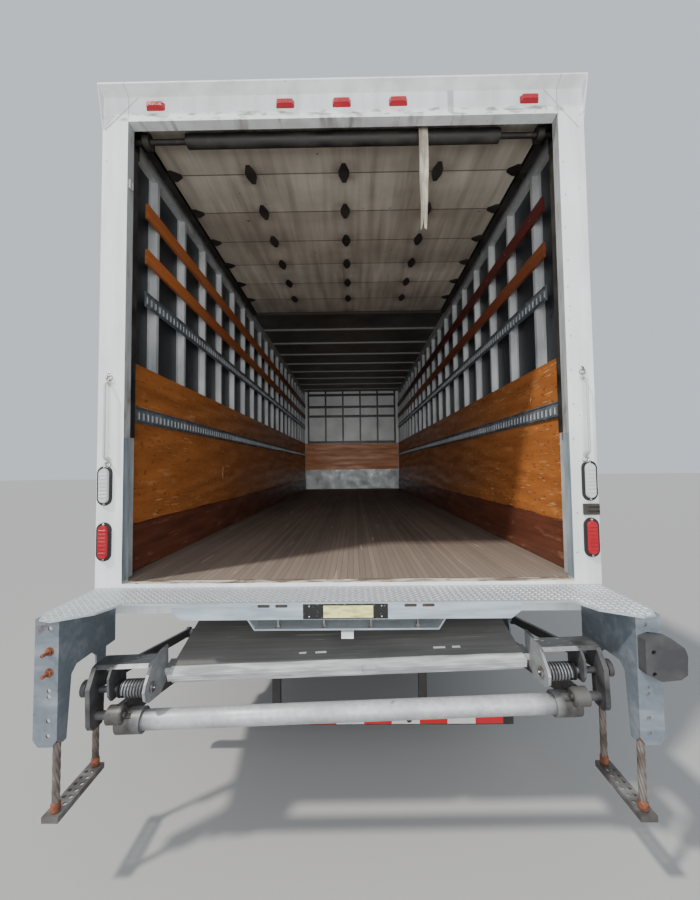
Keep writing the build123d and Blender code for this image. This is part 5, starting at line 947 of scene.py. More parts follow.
# Blank sign. A black board with a pale yellow panel, lying on the middle of the
# plate's face and held by four rivets.
board = plate("sign_board", at(-0.193, face_back - 0.0022, -0.092), at(0.188, face_back, -0.026), 0.0008)
board_black, tree, shader = new_finish("sign_black", tint(14, 14, 15), 0.4)
flaked = cloudy(tree, place_at(tree), 60.0, 0.60, 0.66, 7)
coloured(tree, shader, blended(tree, flaked, tint(14, 14, 15), tint(96, 94, 90)))
hand_over(board, "root", board_black)
blank = plate("sign_panel", at(-0.101, face_back - 0.0030, -0.087), at(0.122, face_back - 0.0020, -0.033),
              0.0004)
worked(blank, "FACE", lambda face: face.normal.y < -0.9)
bpy.ops.mesh.inset(thickness=0.004, depth=-0.0004)
done(blank)
sign_yellow, tree, shader = new_finish("sign_yellow", tint(222, 218, 142), 0.45)
soiled = cloudy(tree, place_at(tree, (1, 1, 3)), 22.0, 0.45, 0.75, 6)
coloured(tree, shader, blended(tree, soiled, tint(224, 220, 146), tint(150, 144, 96)))
hand_over(blank, "root", sign_yellow)


# Channel bolts and bent tab. Bright bolts stand under the channel below the plate,
# and a tab of its white edge is torn and bent down.
def bolt_head(name, size, height):
    """A hexagonal bolt head with its corners turned down, on a washer, standing along +Z."""
    head = turned(name, ((0.002, size), (height * 0.8, size), (height, size * 0.86)), (0, 0, 0), (0, 0, 1), 6)
    washer = turned("washer", ((0, size * 1.3), (0.002, size * 1.3)), (0, 0, 0), (0, 0, 1), 16)
    return joined(name, [head, washer])


fixings = []
for x in (-0.322, -0.106, 0.114, 0.334):
    nut = bolt_head("channel_bolt", 0.012, 0.012)
    shank = turned("shank", ((0.008, 0.007), (0.034, 0.007), (0.036, 0.0055)), (0, 0, 0), (0, 0, 1), 12)
    stud = joined("channel_bolt", [nut, shank])
    stud.data.transform(Matrix.Translation(at(x, -0.150, -0.1622)))
    fixings.append(stud)
for x in (-0.165, 0.160):
    for z in (-0.036, -0.082):
        fixings.append(turned("sign_rivet", ((0, 0.004), (0.0012, 0.004), (0.0022, 0.0022)),
                              at(x, face_back - 0.0022, z), (0, -1, 0), 10))
hand_over(rounded_off(joined("dock_bolts", fixings)), "root", bright_steel)
tab = plate("bent_tab", at(-0.024, -0.192, -0.1715), at(0.034, -0.168, -0.1685), 0.0008)
worked(tab, "FACE", lambda face: face.normal.y < -0.9)
bpy.ops.mesh.extrude_region_move(TRANSFORM_OT_translate={"value": (0, -0.004, -0.004)})
bpy.ops.mesh.extrude_region_move(TRANSFORM_OT_translate={"value": (0, -0.001, -0.022)})
done(tab)
tab_paint = white_paint("tab_paint", tint(228, 230, 230), 0.3, 0.03)[0]
hand_over(tab, "root", tab_paint)


# Uprights and dock bumper. Galvanised posts, their zinc painted darker as painted shade: the left one keeps
# two rusty bolts where its bumper is missing, and the right one carries a moulded black rubber block on two
# sunk bolts.
def rubber(name, colour, dust_colour, roughness=0.75):
    """Black rubber with grey dust."""
    material, tree, shader = new_finish(name, colour, roughness)
    dust = cloudy(tree, place_at(tree), 12.0, 0.4, 0.85, 7)
    coloured(tree, shader, blended(tree, dust, colour, dust_colour, 0.5))
    relief(tree, shader, cloudy(tree, place_at(tree), 260.0, 0.3, 0.7, 3), 0.25, 0.0008)
    return material


# Painted shade: the uprights and the main frame take a darker, bluer zinc, standing for the shade they lie
# in.
shaded_zinc = zinc("shaded_zinc", tint(126, 136, 145), tint(92, 101, 110), 0.03)[0]
dress(shaded_zinc, "gate_uprights", "gate_main_frame")
rusty, tree, shader = new_finish("rusty_steel", tint(120, 70, 48), 0.85)
scale = cloudy(tree, place_at(tree), 60.0, 0.3, 0.7, 6)
coloured(tree, shader, blended(tree, scale, tint(142, 84, 56), tint(82, 48, 36)))
relief(tree, shader, scale, 0.5, 0.002)
bolts = []
for z in (-0.161, -0.246):
    bolt = bolt_head("upright_bolt", 0.014, 0.011)
    shank = turned("shank", ((0.009, 0.0075), (0.040, 0.0075), (0.042, 0.006)), (0, 0, 0), (0, 0, 1), 12)
    bolt = joined("upright_bolt", [bolt, shank])
    bolt.data.transform(Matrix.Translation(at(-1.222, -0.376, z)) @ about("X", 90))
    bolts.append(bolt)
hand_over(rounded_off(joined("upright_bolts", bolts)), "root", rusty)
dress(rubber("bumper_rubber", tint(52, 53, 56), tint(104, 103, 102)), "dock_bumper")
sunk = []
for z in (-0.161, -0.246):
    bolt = bolt_head("bumper_bolt", 0.0062, 0.006)
    bolt.data.transform(Matrix.Translation(at(1.222, -0.3775, z)) @ about("X", 90))
    sunk.append(bolt)
hand_over(joined("bumper_bolts", sunk), "root", rusty)

# Hung steps. Punched steel treads on thick wire rope, six strands laid round each
# other and swaged into rusty ferrules.
dress(zinc("step_steel", tint(96, 92, 90), tint(58, 54, 52), 0.12)[0], "hung_steps")
STRANDS = 6
ROPE_RADIUS = 0.0130
LAY_STEPS = 30
rope_low, rope_high = -0.800, -0.520
rope_rise = (rope_high - rope_low) / LAY_STEPS
bpy.ops.mesh.primitive_circle_add(vertices=STRANDS * 6, radius=1, fill_type="NGON")
rope = settle(bpy.context.object, "wire_rope")
for corner in rope.data.vertices:
    angle = math.atan2(corner.co.y, corner.co.x)
    bulge = 0.0026 * abs(math.cos(STRANDS / 2 * angle))
    corner.co.xy = corner.co.xy * (ROPE_RADIUS + 0.0006 + bulge - 0.0013)
worked(rope, "FACE", lambda face: True)
for step in range(LAY_STEPS):
    bpy.ops.mesh.extrude_region_move(TRANSFORM_OT_translate={"value": (0, 0, rope_rise)})
    bpy.ops.transform.rotate(value=math.radians(12), orient_axis="Z", center_override=(0, 0, 0))
done(rope)
spots = [at(side * 1.2063, y, rope_low) for side in (-1, 1) for y in (-0.346, -0.105)]
rope_steel, tree, shader = new_finish("rope_steel", tint(112, 104, 98), 0.6, 0.3)
greasy = cloudy(tree, place_at(tree), 14.0, 0.35, 0.7, 6)
coloured(tree, shader, blended(tree, greasy, tint(128, 120, 114), tint(70, 56, 48)))
hand_over(rounded_off(copied("wire_ropes", rope, spots), 50), "root", rope_steel)
ferrule = turned("ferrule", ((0, 0.0165), (0.004, 0.0185), (0.030, 0.0185), (0.036, 0.0155)), (0, 0, 0),
                 (0, 0, 1), 16)
spots = [spot + Vector((0, 0, lift)) for spot in spots for lift in (-0.018, 0.262)]
hand_over(rounded_off(copied("rope_ferrules", ferrule, spots)), "root", rusty)


# Liftgate. Painted steel arms and cast hinge brackets, greyed and scraped, with real coil
# springs, capped pins and a sleeve on the cross tube. The moving frame hangs lower on the left.
def distance_of(tree, first, second):
    """How far the surface point is from an axis, from its two distances square to each other."""
    squares = [sums(tree, "MULTIPLY", side, side) for side in (first, second)]
    return sums(tree, "SQRT", sums(tree, "ADD", *squares), 0)


gate_grey, tree, shader = zinc("gate_grey", tint(160, 162, 163), tint(98, 100, 102), 0.04)
light = shader.inputs["Base Color"].links[0].from_socket
facing_up = ranged(tree, axis_of(tree, "Z", "Normal"), 0.80, 0.90)
scratches = cloudy(tree, place_at(tree, (6, 20, 6)), 3.0, 0.60, 0.68, 6)
worn_top = blended(tree, scratches, tint(78, 80, 83), tint(168, 170, 171))
worn = blended(tree, facing_up, light, worn_top)
outboard = ranged(tree, axis_of(tree, "X", away=True), 0.985, 1.000)
grease = cloudy(tree, place_at(tree), 12.0, 0.25, 0.65, 6)
dirty_arms = blended(tree, outboard, worn, blended(tree, grease, tint(30, 30, 31), tint(92, 92, 93)))
SPRING_Y, SPRING_Z = -0.275, -0.335
forward = sums(tree, "SUBTRACT", axis_of(tree, "Y"), rear + SPRING_Y)
hanging = sums(tree, "MULTIPLY", axis_of(tree, "X"), 0.0332)
upward = sums(tree, "SUBTRACT", sums(tree, "SUBTRACT", axis_of(tree, "Z"), floor_top + SPRING_Z), hanging)
from_axis = distance_of(tree, forward, upward)
# Painted shade: the barrel inside each coil spring is painted near black, standing for the shade between the
# coils.
on_barrel = sums(tree, "MULTIPLY", ranged(tree, from_axis, 0.0368, 0.0376, 1, 0),
                 between(tree, axis_of(tree, "X", away=True), 0.8705, 0.988))
coloured(tree, shader, blended(tree, on_barrel, dirty_arms, tint(34, 34, 35)))
dress(gate_grey, "gate_carriers")
arm_steel, tree, shader = zinc("arm_steel", tint(190, 194, 195), tint(120, 124, 127), 0.05)
tube_paint = shader.inputs["Base Color"].links[0].from_socket
by_ends = ranged(tree, axis_of(tree, "X", away=True), 0.80, 0.93)
blackened = cloudy(tree, place_at(tree), 14.0, 0.25, 0.6, 6)
greasy = blended(tree, blackened, tint(34, 33, 33), tint(92, 90, 88))
coloured(tree, shader, blended(tree, by_ends, tube_paint, greasy))
dress(arm_steel, "lift_arms")
dress(dark_steel("link_steel", tint(52, 52, 53), tint(112, 100, 92), 0.55), "parallel_arms")
GATE_SAG = -1.9
pivot = at(0, 0, -0.4)
sag = Matrix.Translation(pivot) @ about("Y", GATE_SAG) @ Matrix.Translation(-pivot)


def hung(piece):
    """The piece turned as the moving frame hangs, low on the left."""
    piece.data.transform(sag)
    return piece


COIL_PITCH = 0.013
COIL_TURNS = 6.8
bpy.ops.mesh.primitive_circle_add(vertices=8, radius=0.0048, location=(0.0328, 0, 0),
                                  rotation=(math.radians(90), 0, 0))
coil = settle(bpy.context.object, "coil")
modified(coil, "SCREW", angle=math.radians(360 * COIL_TURNS), screw_offset=COIL_PITCH * COIL_TURNS,
         steps=150, render_steps=150)
worked(coil, "VERT", lambda corner: True)
bpy.ops.mesh.remove_doubles(threshold=0.0001)
done(coil)
coil.data.transform(Matrix.Translation(at(0.8735, SPRING_Y, SPRING_Z)) @ about("Y", 90))
springs = hung(mirrored(coil))
spring_steel, tree, shader = new_finish("spring_steel", tint(150, 153, 156), 0.4, 0.6)
greasy = cloudy(tree, place_at(tree), 16.0, 0.35, 0.7, 6)
coloured(tree, shader, blended(tree, greasy, tint(140, 143, 146), tint(62, 62, 64)))
hand_over(rounded_off(springs, 60), "gate_platform", spring_steel)

# Caps of the liftgate. Turned steel caps with grease nipples on the arms' end bosses
# and on the carriers' pins, and a sleeve clamped round the cross tube.
cap_outline = ((0, 0.036), (0.004, 0.036), (0.007, 0.031), (0.007, 0.024), (0.003, 0.022), (0.003, 0.013),
               (0.010, 0.012), (0.012, 0.007))
arm_cap = turned("arm_caps", cap_outline, at(0.961, -0.300, -0.430), (-1, 0, 0), 28)
hand_over(rounded_off(hung(mirrored(arm_cap))), "lift_arms", arm_steel)
pin_outline = ((0, 0.020), (0.003, 0.022), (0.008, 0.022), (0.011, 0.018), (0.011, 0.006), (0.018, 0.005))
pin_cap = turned("pin_caps", pin_outline, at(0.8498, SPRING_Y, SPRING_Z), (-1, 0, 0), 20)
hand_over(rounded_off(hung(mirrored(pin_cap))), "gate_platform", bright_steel)
tube_y, tube_z = -0.263, -0.478
sleeve = turned("tube_sleeve", ((0, 0.0412), (0.004, 0.0470), (0.062, 0.0470), (0.068, 0.0412)),
                at(-0.902, tube_y, tube_z), (-1, 0, 0), 28)
hand_over(rounded_off(hung(sleeve)), "lift_arms", arm_steel)

# Platform. Two aluminium decks folded flat on each other, dull and scratched, with a pale
# worn steel edge, weld beads at its ends and four short white paint marks by the edge.
deck_metal, tree, shader = new_finish("platform_aluminium", tint(116, 115, 112), 0.5, 0.25)
brushed = cloudy(tree, place_at(tree, (1.2, 60, 60)), 1.0, 0.3, 0.7, 6)
stained = cloudy(tree, place_at(tree, (2, 5, 5)), 1.0, 0.35, 0.8, 6)
scored = cloudy(tree, place_at(tree, (3, 90, 90)), 1.0, 0.64, 0.70, 5)
dull_deck = blended(tree, brushed, tint(122, 121, 118), tint(102, 102, 100))
dull_deck = blended(tree, stained, dull_deck, tint(76, 75, 73), 0.5)
dull_deck = blended(tree, scored, dull_deck, tint(168, 168, 165), 0.5)
tree.links.new(ranged(tree, stained, 0, 1, 0.42, 0.7), shader.inputs["Roughness"])
relief(tree, shader, brushed, 0.1, 0.001)
forward = ahead_of_frame(tree)
edge_wear = cloudy(tree, place_at(tree, (5, 30, 30)), 1.0, 0.35, 0.6, 6)
near_edge = ranged(tree, sums(tree, "ADD", forward, sums(tree, "MULTIPLY", edge_wear, 0.003)),
                   -0.150, -0.146, 1, 0)
worn_edge = blended(tree, edge_wear, tint(204, 207, 207), tint(158, 161, 162))
coloured(tree, shader, blended(tree, near_edge, dull_deck, worn_edge))
dress(deck_metal, "platform")
PLATFORM_RISE = 15
marks = []
for left, right in ((-0.227, -0.193), (-0.149, -0.096), (0.418, 0.475), (0.508, 0.547)):
    marks.append(plate("mark", (left, 0.098, -0.0002), (right, 0.110, 0.0007), 0.0003))
mark = joined("platform_marks", marks)
mark.data.transform(Matrix.Translation(at(0, -0.200, -0.325)) @ about("X", PLATFORM_RISE))
hand_over(hung(mark), "gate_platform", tab_paint)

# Lift cylinders. Black painted barrels with chromed rods, pinned between the main
# frame and the lift arms; the rods are polished along their length.
dress(dark_steel("cylinder_black", tint(30, 30, 30), tint(84, 66, 56), 0.4), "gate_barrels")
chrome, tree, shader = new_finish("rod_chrome", (0.72, 0.73, 0.75), 0.12, 1.0)
streak = cloudy(tree, place_at(tree, (1, 60, 1)), 1.0, 0.3, 0.7, 4)
tree.links.new(ranged(tree, streak, 0, 1, 0.08, 0.2), shader.inputs["Roughness"])
dress(chrome, "gate_rods")

# Underride guard. Black painted square tube hung under the chassis rails, with two
# bolts through it and a band of red and white reflecting tape along its face.
dress(dark_steel("guard_steel", tint(38, 39, 40), tint(84, 66, 56), 0.5), "underride_guard")
TAPE_PITCH = 0.3435
guard_back = 0.455
tape = plate("reflecting_tape", at(-0.944, guard_back - 0.0010, -1.004),
             at(0.946, guard_back + 0.0005, -0.954), 0.0004)
tape_finish, tree, shader = new_finish("reflecting_tape", tint(212, 20, 30), 0.3)
crosswise = sums(tree, "ADD", axis_of(tree, "X"), 10 * TAPE_PITCH - 0.088)
phase = sums(tree, "FRACT", sums(tree, "DIVIDE", crosswise, TAPE_PITCH), 0)
is_red = ranged(tree, phase, 0.4995, 0.5005, 1, 0)
cells = tree.nodes.new("ShaderNodeTexChecker")
cells.inputs["Scale"].default_value = 230
tree.links.new(place_at(tree), cells.inputs["Vector"])
two_tone = blended(tree, is_red, tint(226, 226, 222), tint(214, 22, 34))
two_tone = blended(tree, cells.outputs["Fac"], two_tone, tint(120, 90, 90), 0.12)
film = cloudy(tree, place_at(tree), 8.0, 0.45, 0.8, 6)
coloured(tree, shader, blended(tree, film, two_tone, tint(120, 112, 104), 0.35))
hand_over(tape, "root", tape_finish)
guard_bolt = bolt_head("guard_bolts", 0.013, 0.010)
guard_bolt.data.transform(about("X", 90))
hand_over(copied("guard_bolts", guard_bolt, [at(x, guard_back - 0.001, -0.979) for x in (-0.457, 0.367)]),
          "root", rusty_black)

# Chassis. Black painted rails, axles and steering rods gone dusty, with rows of bolts where
# the springs and cross pieces are fixed to the rails, and rubber flaps behind the rear wheels.
chassis_black = dark_steel("chassis_black", tint(38, 39, 40), tint(70, 58, 50), 0.5)
dress(chassis_black, "chassis_frame")
dress(dark_steel("axle_black", tint(34, 35, 36), tint(86, 66, 54), 0.5), "front_axle", "rear_axle",
      "knuckle_left", "knuckle_right", "tie_rod")
dress(dark_steel("drivetrain_grey", tint(88, 90, 90), tint(110, 80, 62), 0.6), "drivetrain")
flap_rubber = rubber("flap_rubber", tint(34, 34, 34), tint(90, 84, 76))
dress(flap_rubber, "mud_flaps")
RAIL_OUTSIDE = 0.4320
rail_bolt = bolt_head("rail_bolts", 0.011, 0.009)
rail_bolt.data.transform(about("Y", 90))
spots = [at(RAIL_OUTSIDE - 0.0004, start + 0.07 * column, -0.245 - 0.06 * row)
         for start in (1.60, 4.95, 5.90, 8.45, 9.30) for column in (0, 1) for row in (0, 1, 2)]
hand_over(mirrored(copied("rail_bolts", rail_bolt, spots)), "root", rusty_black)
FLAP_Y = 2.660
flap_bolt = bolt_head("flap_bolts", 0.008, 0.006)
flap_bolt.data.transform(about("X", 90))
spots = [at(x, FLAP_Y + 0.0004, -0.260) for x in (0.70, 0.85, 1.00, 1.19)]
hand_over(mirrored(copied("flap_bolts", flap_bolt, spots)), "root", bright_steel)


# Wheels. White painted steel discs with rust streaks out of the hand holes and round
# the nuts, rubber valve stems, oil caps in front and bolted axle flanges at the back.
def above_ground(x, forward, high):
    """A place on the truck as at gives it, but with its height above the ground."""
    return at(x, forward, high - floor_top)


def bolt_circle(name, foot, side, count, radius, lift, size, height):
    """Bolt heads in a circle on a hub's outer face."""
    heads = []
    for number in range(count):
        angle = math.radians(360 / count * number)
        spot = foot + Vector((side * lift, radius * math.cos(angle), radius * math.sin(angle)))
        head = bolt_head(name, size, height)
        head.data.transform(Matrix.Translation(spot) @ pointing((side, 0, 0)))
        heads.append(head)
    return heads


REAR_AXLE = 3.300
FRONT_AXLE = 10.050
HUB_HEIGHT = 0.465
FRONT_TRACK = 1.020
OUTER_TRACK = 1.090
INNER_TRACK = 0.805
VALVE_RADIUS = 0.236
wheel_paint, tree, shader = white_paint("wheel_white", tint(214, 215, 213), 0.45, 0.02)
painted = shader.inputs["Base Color"].links[0].from_socket
drop = sums(tree, "SUBTRACT", axis_of(tree, "Z"), HUB_HEIGHT)
from_rear = sums(tree, "SUBTRACT", axis_of(tree, "Y"), rear + REAR_AXLE)
from_front = sums(tree, "SUBTRACT", axis_of(tree, "Y"), rear + FRONT_AXLE)
nearer = sums(tree, "MINIMUM", sums(tree, "ABSOLUTE", from_rear, 0), sums(tree, "ABSOLUTE", from_front, 0))
radius = distance_of(tree, nearer, drop)
stained = cloudy(tree, place_at(tree), 26.0, 0.35, 0.75, 7)
round_nuts = sums(tree, "MULTIPLY", between(tree, radius, 0.105, 0.165, 0.02), stained)
round_holes = sums(tree, "MULTIPLY", between(tree, radius, 0.188, 0.245, 0.012), stained)
rusted = sums(tree, "MAXIMUM", sums(tree, "MULTIPLY", round_nuts, 0.9),
              sums(tree, "MULTIPLY", round_holes, 0.6))
coloured(tree, shader, blended(tree, rusted, painted, tint(112, 76, 56)))
dress(wheel_paint, "wheel_front_left", "wheel_front_right", "wheels_rear_left", "wheels_rear_right")
cap_outline = ((0, 0.074), (0.006, 0.074), (0.009, 0.070), (0.009, 0.058), (0.026, 0.052), (0.031, 0.042),
               (0.031, 0.022), (0.036, 0.018))
flange_outline = ((0, 0.084), (0.010, 0.084), (0.014, 0.080), (0.014, 0.050), (0.026, 0.040), (0.030, 0.030))
stem_outline = ((0, 0.0075), (0.012, 0.006), (0.040, 0.0042), (0.050, 0.0045), (0.052, 0.003))
for side, word in ((-1, "left"), (1, "right")):
    outer = 1 if side > 0 else 0
    foot = above_ground(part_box(f"wheel_front_{word}")[outer].x - side * 0.001, FRONT_AXLE, HUB_HEIGHT)
    pieces = [turned("oil_cap", cap_outline, foot, (side, 0, 0), 36)]
    pieces += bolt_circle("cap_bolt", foot, side, 6, 0.064, 0.008, 0.006, 0.006)
    cap = joined(f"oil_cap_{word}", pieces)
    hand_over(rounded_off(cap), f"wheel_front_{word}", bright_steel)
    foot = above_ground(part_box(f"wheels_rear_{word}")[outer].x - side * 0.001, REAR_AXLE, HUB_HEIGHT)
    pieces = [turned("axle_flange", flange_outline, foot, (side, 0, 0), 36)]
    pieces += bolt_circle("flange_nut", foot, side, 8, 0.067, 0.013, 0.0095, 0.012)
    flange = joined(f"axle_flange_{word}", pieces)
    hand_over(rounded_off(flange), f"wheel_rear_{word}", rusty_black)
    for body, track, fore in ((f"wheel_front_{word}", FRONT_TRACK, FRONT_AXLE),
                              (f"wheel_rear_{word}", OUTER_TRACK, REAR_AXLE)):
        foot = above_ground(side * (track + 0.025), fore, HUB_HEIGHT + VALVE_RADIUS)
        stem = turned(f"valve_{body}", stem_outline, foot, (side, 0, 0.12), 12)
        hand_over(rounded_off(stem), body, flap_rubber)

# Tyres. Truck radials with four grooves round the tread, notched shoulders, sipes across the middle ribs,
# and a scuff rib and bead ring on each side. One is modelled round its axle and copied to the six places.
tyre_rubber = rubber("tyre", tint(38, 38, 39), tint(96, 90, 82))
half_section = [(0.0990, 0.2912), (0.1050, 0.3020), (0.1120, 0.3120), (0.1150, 0.3260), (0.1180, 0.3280),
                (0.1205, 0.3450), (0.1228, 0.3600), (0.1247, 0.3640), (0.1249, 0.3720), (0.1232, 0.3770),
                (0.1225, 0.3950), (0.1190, 0.4180), (0.1145, 0.4400), (0.1095, 0.4520), (0.1040, 0.4590),
                (0.0840, 0.4622), (0.0815, 0.4624), (0.0790, 0.4510), (0.0730, 0.4510), (0.0705, 0.4634),
                (0.0350, 0.4644), (0.0325, 0.4645), (0.0300, 0.4520), (0.0240, 0.4520), (0.0215, 0.4648)]
inside = [(-0.0880, 0.3000), (-0.1020, 0.3600), (-0.0900, 0.4250), (0.0, 0.4380), (0.0900, 0.4250),
          (0.1020, 0.3600), (0.0880, 0.3000)]
section = half_section + [(-a, r) for a, r in reversed(half_section)] + inside
bpy.ops.mesh.primitive_circle_add(vertices=len(section), radius=0.1)
tyre = settle(bpy.context.object, "tyre")
for corner, (a, r) in zip(tyre.data.vertices, section):
    corner.co = (a, 0, r)
TREAD_STEPS = 108
modified(tyre, "SCREW", angle=math.radians(360), steps=TREAD_STEPS, render_steps=TREAD_STEPS, axis="X",
         use_merge_vertices=True, merge_threshold=0.0001)
tyre = settle(tyre)


def turn_step(face):
    """Which of the tread's steps round the axle this face lies on."""
    return int((math.degrees(math.atan2(face.center.z, face.center.y)) % 360) / (360 / TREAD_STEPS))


def cut_inwards(wanted, share):
    """Push the wanted faces of the tyre in towards its axle."""
    worked(tyre, "FACE", wanted)
    bpy.ops.mesh.extrude_region_move()
    bpy.ops.transform.resize(value=(1, share, share), center_override=(0, 0, 0))
    done(tyre)


def is_notch(face):
    """Whether this is a notch in a shoulder: every third step, and the two sides out of step."""
    on_shoulder = 0.084 < abs(face.center.x) < 0.1075 and face.center.yz.length > 0.448
    return on_shoulder and turn_step(face) % 3 == (0 if face.center.x > 0 else 1)


def is_sipe(face):
    """Whether this is a sipe across a middle rib: every sixth step, and the two sides out of step."""
    on_rib = 0.036 < abs(face.center.x) < 0.069 and face.center.yz.length > 0.460
    return on_rib and turn_step(face) % 6 == (2 if face.center.x > 0 else 5)


cut_inwards(is_notch, 0.978)
cut_inwards(is_sipe, 0.986)
rounded_off(tyre, 32)
for side, word in ((-1, "left"), (1, "right")):
    for name, places, fore, body in (
            (f"tyre_front_{word}", (FRONT_TRACK,), FRONT_AXLE, f"wheel_front_{word}"),
            (f"tyres_rear_{word}", (OUTER_TRACK, INNER_TRACK), REAR_AXLE, f"wheel_rear_{word}")):
        ring = copied(f"tread_{body}", twin(tyre), [above_ground(side * x, fore, HUB_HEIGHT) for x in places])
        hand_over(ring, body, tyre_rubber)
        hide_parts(name)
bpy.data.objects.remove(tyre)

# Tanks. Brushed aluminium fuel tank on the left with a filler cap and two strapped bands; on the right the
# battery box with a ribbed step on its top and a latch.
tank_metal, tree, shader = new_finish("tank_metal", tint(176, 178, 180), 0.35, 0.9)
brushed = cloudy(tree, place_at(tree, (1, 2, 90)), 1.0, 0.3, 0.7, 5)
dull = cloudy(tree, place_at(tree), 5.0, 0.35, 0.8, 6)
coloured(tree, shader, blended(tree, dull, tint(182, 184, 186), tint(120, 118, 114)))
tree.links.new(ranged(tree, brushed, 0, 1, 0.25, 0.5), shader.inputs["Roughness"])
dress(tank_metal, "frame_tanks")
TANK_MIDDLE = 0.7904
bands = []
for side, width, height, radius, back_edges in ((-1, 0.600, 0.520, 0.120, (7.200, 7.900)),
                                                (1, 0.540, 0.420, 0.030, (7.550, 8.000))):
    for edge in back_edges:
        inner, outer = sorted((side * 0.4705, side * (0.472 + width + 0.0035)))
        ends = (rear + edge + 0.005, rear + edge + 0.055)
        bpy.ops.mesh.primitive_cube_add(size=1, location=((inner + outer) / 2, sum(ends) / 2, TANK_MIDDLE))
        band = bpy.context.object
        band.scale = (outer - inner, 0.050, height + 0.007)
        settle(band, "tank_band")
        corners = [corner.co.copy() for corner in band.data.vertices]
        worked(band, "EDGE",
               lambda line: (corners[line.vertices[0]] - corners[line.vertices[1]]).xz.length < 0.001)
        bpy.ops.mesh.bevel(offset=radius + 0.003, segments=8, affect="EDGES")
        bpy.ops.object.mode_set(mode="OBJECT")
        worked(band, "FACE", lambda face: abs(face.normal.y) > 0.9)
        bpy.ops.mesh.delete(type="FACE")
        done(band)
        modified(band, "SOLIDIFY", thickness=0.0030, offset=-1)
        bands.append(band)
hand_over(rounded_off(joined("tank_bands", bands)), "root", chassis_black)
neck_outline = ((0, 0.040), (0.016, 0.038), (0.016, 0.052), (0.020, 0.054), (0.044, 0.054), (0.048, 0.050),
                (0.048, 0.034), (0.052, 0.030))
neck = turned("fuel_cap", neck_outline, above_ground(-1.0345, 7.650, 1.0125), (-1, 0, 1), 28)
cap_black = dark_steel("cap_black", tint(30, 30, 31), tint(70, 66, 62), 0.4)
hand_over(rounded_off(neck), "root", cap_black)
STEP_TOP = TANK_MIDDLE + 0.2095
rib = plate("step_ribs", above_ground(0.560, 7.490, STEP_TOP), above_ground(0.990, 7.502, STEP_TOP + 0.004),
            0.0012)
in_a_row(rib, 16, (0, 0.040, 0))
hand_over(rib, "root", tank_metal)
latch = plate("box_latch", above_ground(1.0115, 7.760, TANK_MIDDLE + 0.02),
              above_ground(1.024, 7.830, TANK_MIDDLE + 0.09), 0.004, 2)
hand_over(rounded_off(latch), "root", bright_steel)

# Cab. Pressed steel, welded and sprayed gloss white, with a film of road dust low
# down; the bumper's paint is duller and chipped.
cab_paint, tree, shader = new_finish("cab_paint", tint(228, 230, 231), 0.22)
shader.inputs["Coat Weight"].default_value = 0.6
shader.inputs["Coat Roughness"].default_value = 0.08
film = cloudy(tree, place_at(tree, (1, 1, 0.6)), 2.5, 0.4, 0.85, 6)
low_dirt = ranged(tree, axis_of(tree, "Z"), 0.5, 1.3, 1, 0)
dirt = sums(tree, "MULTIPLY", film, sums(tree, "ADD", sums(tree, "MULTIPLY", low_dirt, 0.5), 0.18))
coloured(tree, shader, blended(tree, dirt, tint(228, 230, 231), tint(140, 134, 124)))
tree.links.new(ranged(tree, dirt, 0, 0.6, 0.2, 0.55), shader.inputs["Roughness"])
dress(cab_paint, "cab_shell", "hood_shell", "door_left", "door_right")
bumper_paint = white_paint("bumper_paint", tint(214, 216, 216), 0.35, 0.01)[0]
dress(bumper_paint, "front_bumper")


# Window strips. Extruded black rubber pressed round the windscreen, the back window
# and both door windows, with rounded corners.
def window_strip(name, corners, width, height):
    """A rubber strip round a window, from its corners taken anticlockwise as seen from outside."""
    bpy.ops.mesh.primitive_circle_add(vertices=len(corners), radius=1, fill_type="NGON")
    strip = settle(bpy.context.object, name)
    for corner, place in zip(strip.data.vertices, corners):
        corner.co = place
    worked(strip, "VERT", lambda corner: True)
    bpy.ops.mesh.bevel(offset=0.035, segments=4, affect="VERTICES")
    bpy.ops.mesh.select_all(action="SELECT")
    bpy.ops.mesh.inset(thickness=width)
    bpy.ops.mesh.delete(type="FACE")
    bpy.ops.mesh.select_all(action="SELECT")
    bpy.ops.mesh.extrude_region_shrink_fatten(TRANSFORM_OT_shrink_fatten={"value": height})
    return done(strip)


def other_side(piece, name):
    """A mirror image of the piece on the truck's other side, with its own mesh."""
    image = twin(piece)
    image.data.transform(Matrix.Diagonal((-1, 1, 1, 1)))
    image.data.flip_normals()
    image.name = image.data.name = name
    return image


COWL = 9.660
CAB_BACK = 8.270
SCREEN_SLOPE = 0.5541


def screen_at(x, high):
    """A place on the cab's sloping front, at this height above the ground."""
    return above_ground(x, COWL - 0.0585 - (high - 1.760) * SCREEN_SLOPE, high)


def side_at(forward, high):
    """A place on the cab's right side, which leans in above the window line."""
    return above_ground(1.041 - 0.1125 * max(0.0, high - 1.700), COWL + forward, high)


seal_rubber = rubber("seal_rubber", tint(24, 24, 25), tint(80, 76, 70), 0.6)
screen = window_strip("screen_strip", [screen_at(-0.915, 1.785), screen_at(-0.845, 2.385),
                                       screen_at(0.845, 2.385), screen_at(0.915, 1.785)], 0.034, 0.005)
back_corners = [at(x, CAB_BACK - 0.0005, high)
                for x, high in ((-0.632, 0.488), (0.632, 0.488), (0.612, 1.012), (-0.612, 1.012))]
back_light = window_strip("back_strip", back_corners, 0.026, 0.005)
hand_over(rounded_off(joined("window_strips", [screen, back_light])), "root", seal_rubber)
door_strip = window_strip("door_strip_right", [side_at(-0.982, 1.628), side_at(-0.248, 1.628),
                                               side_at(-0.248, 1.704), side_at(-0.558, 2.282),
                                               side_at(-0.982, 2.282)], 0.022, 0.004)

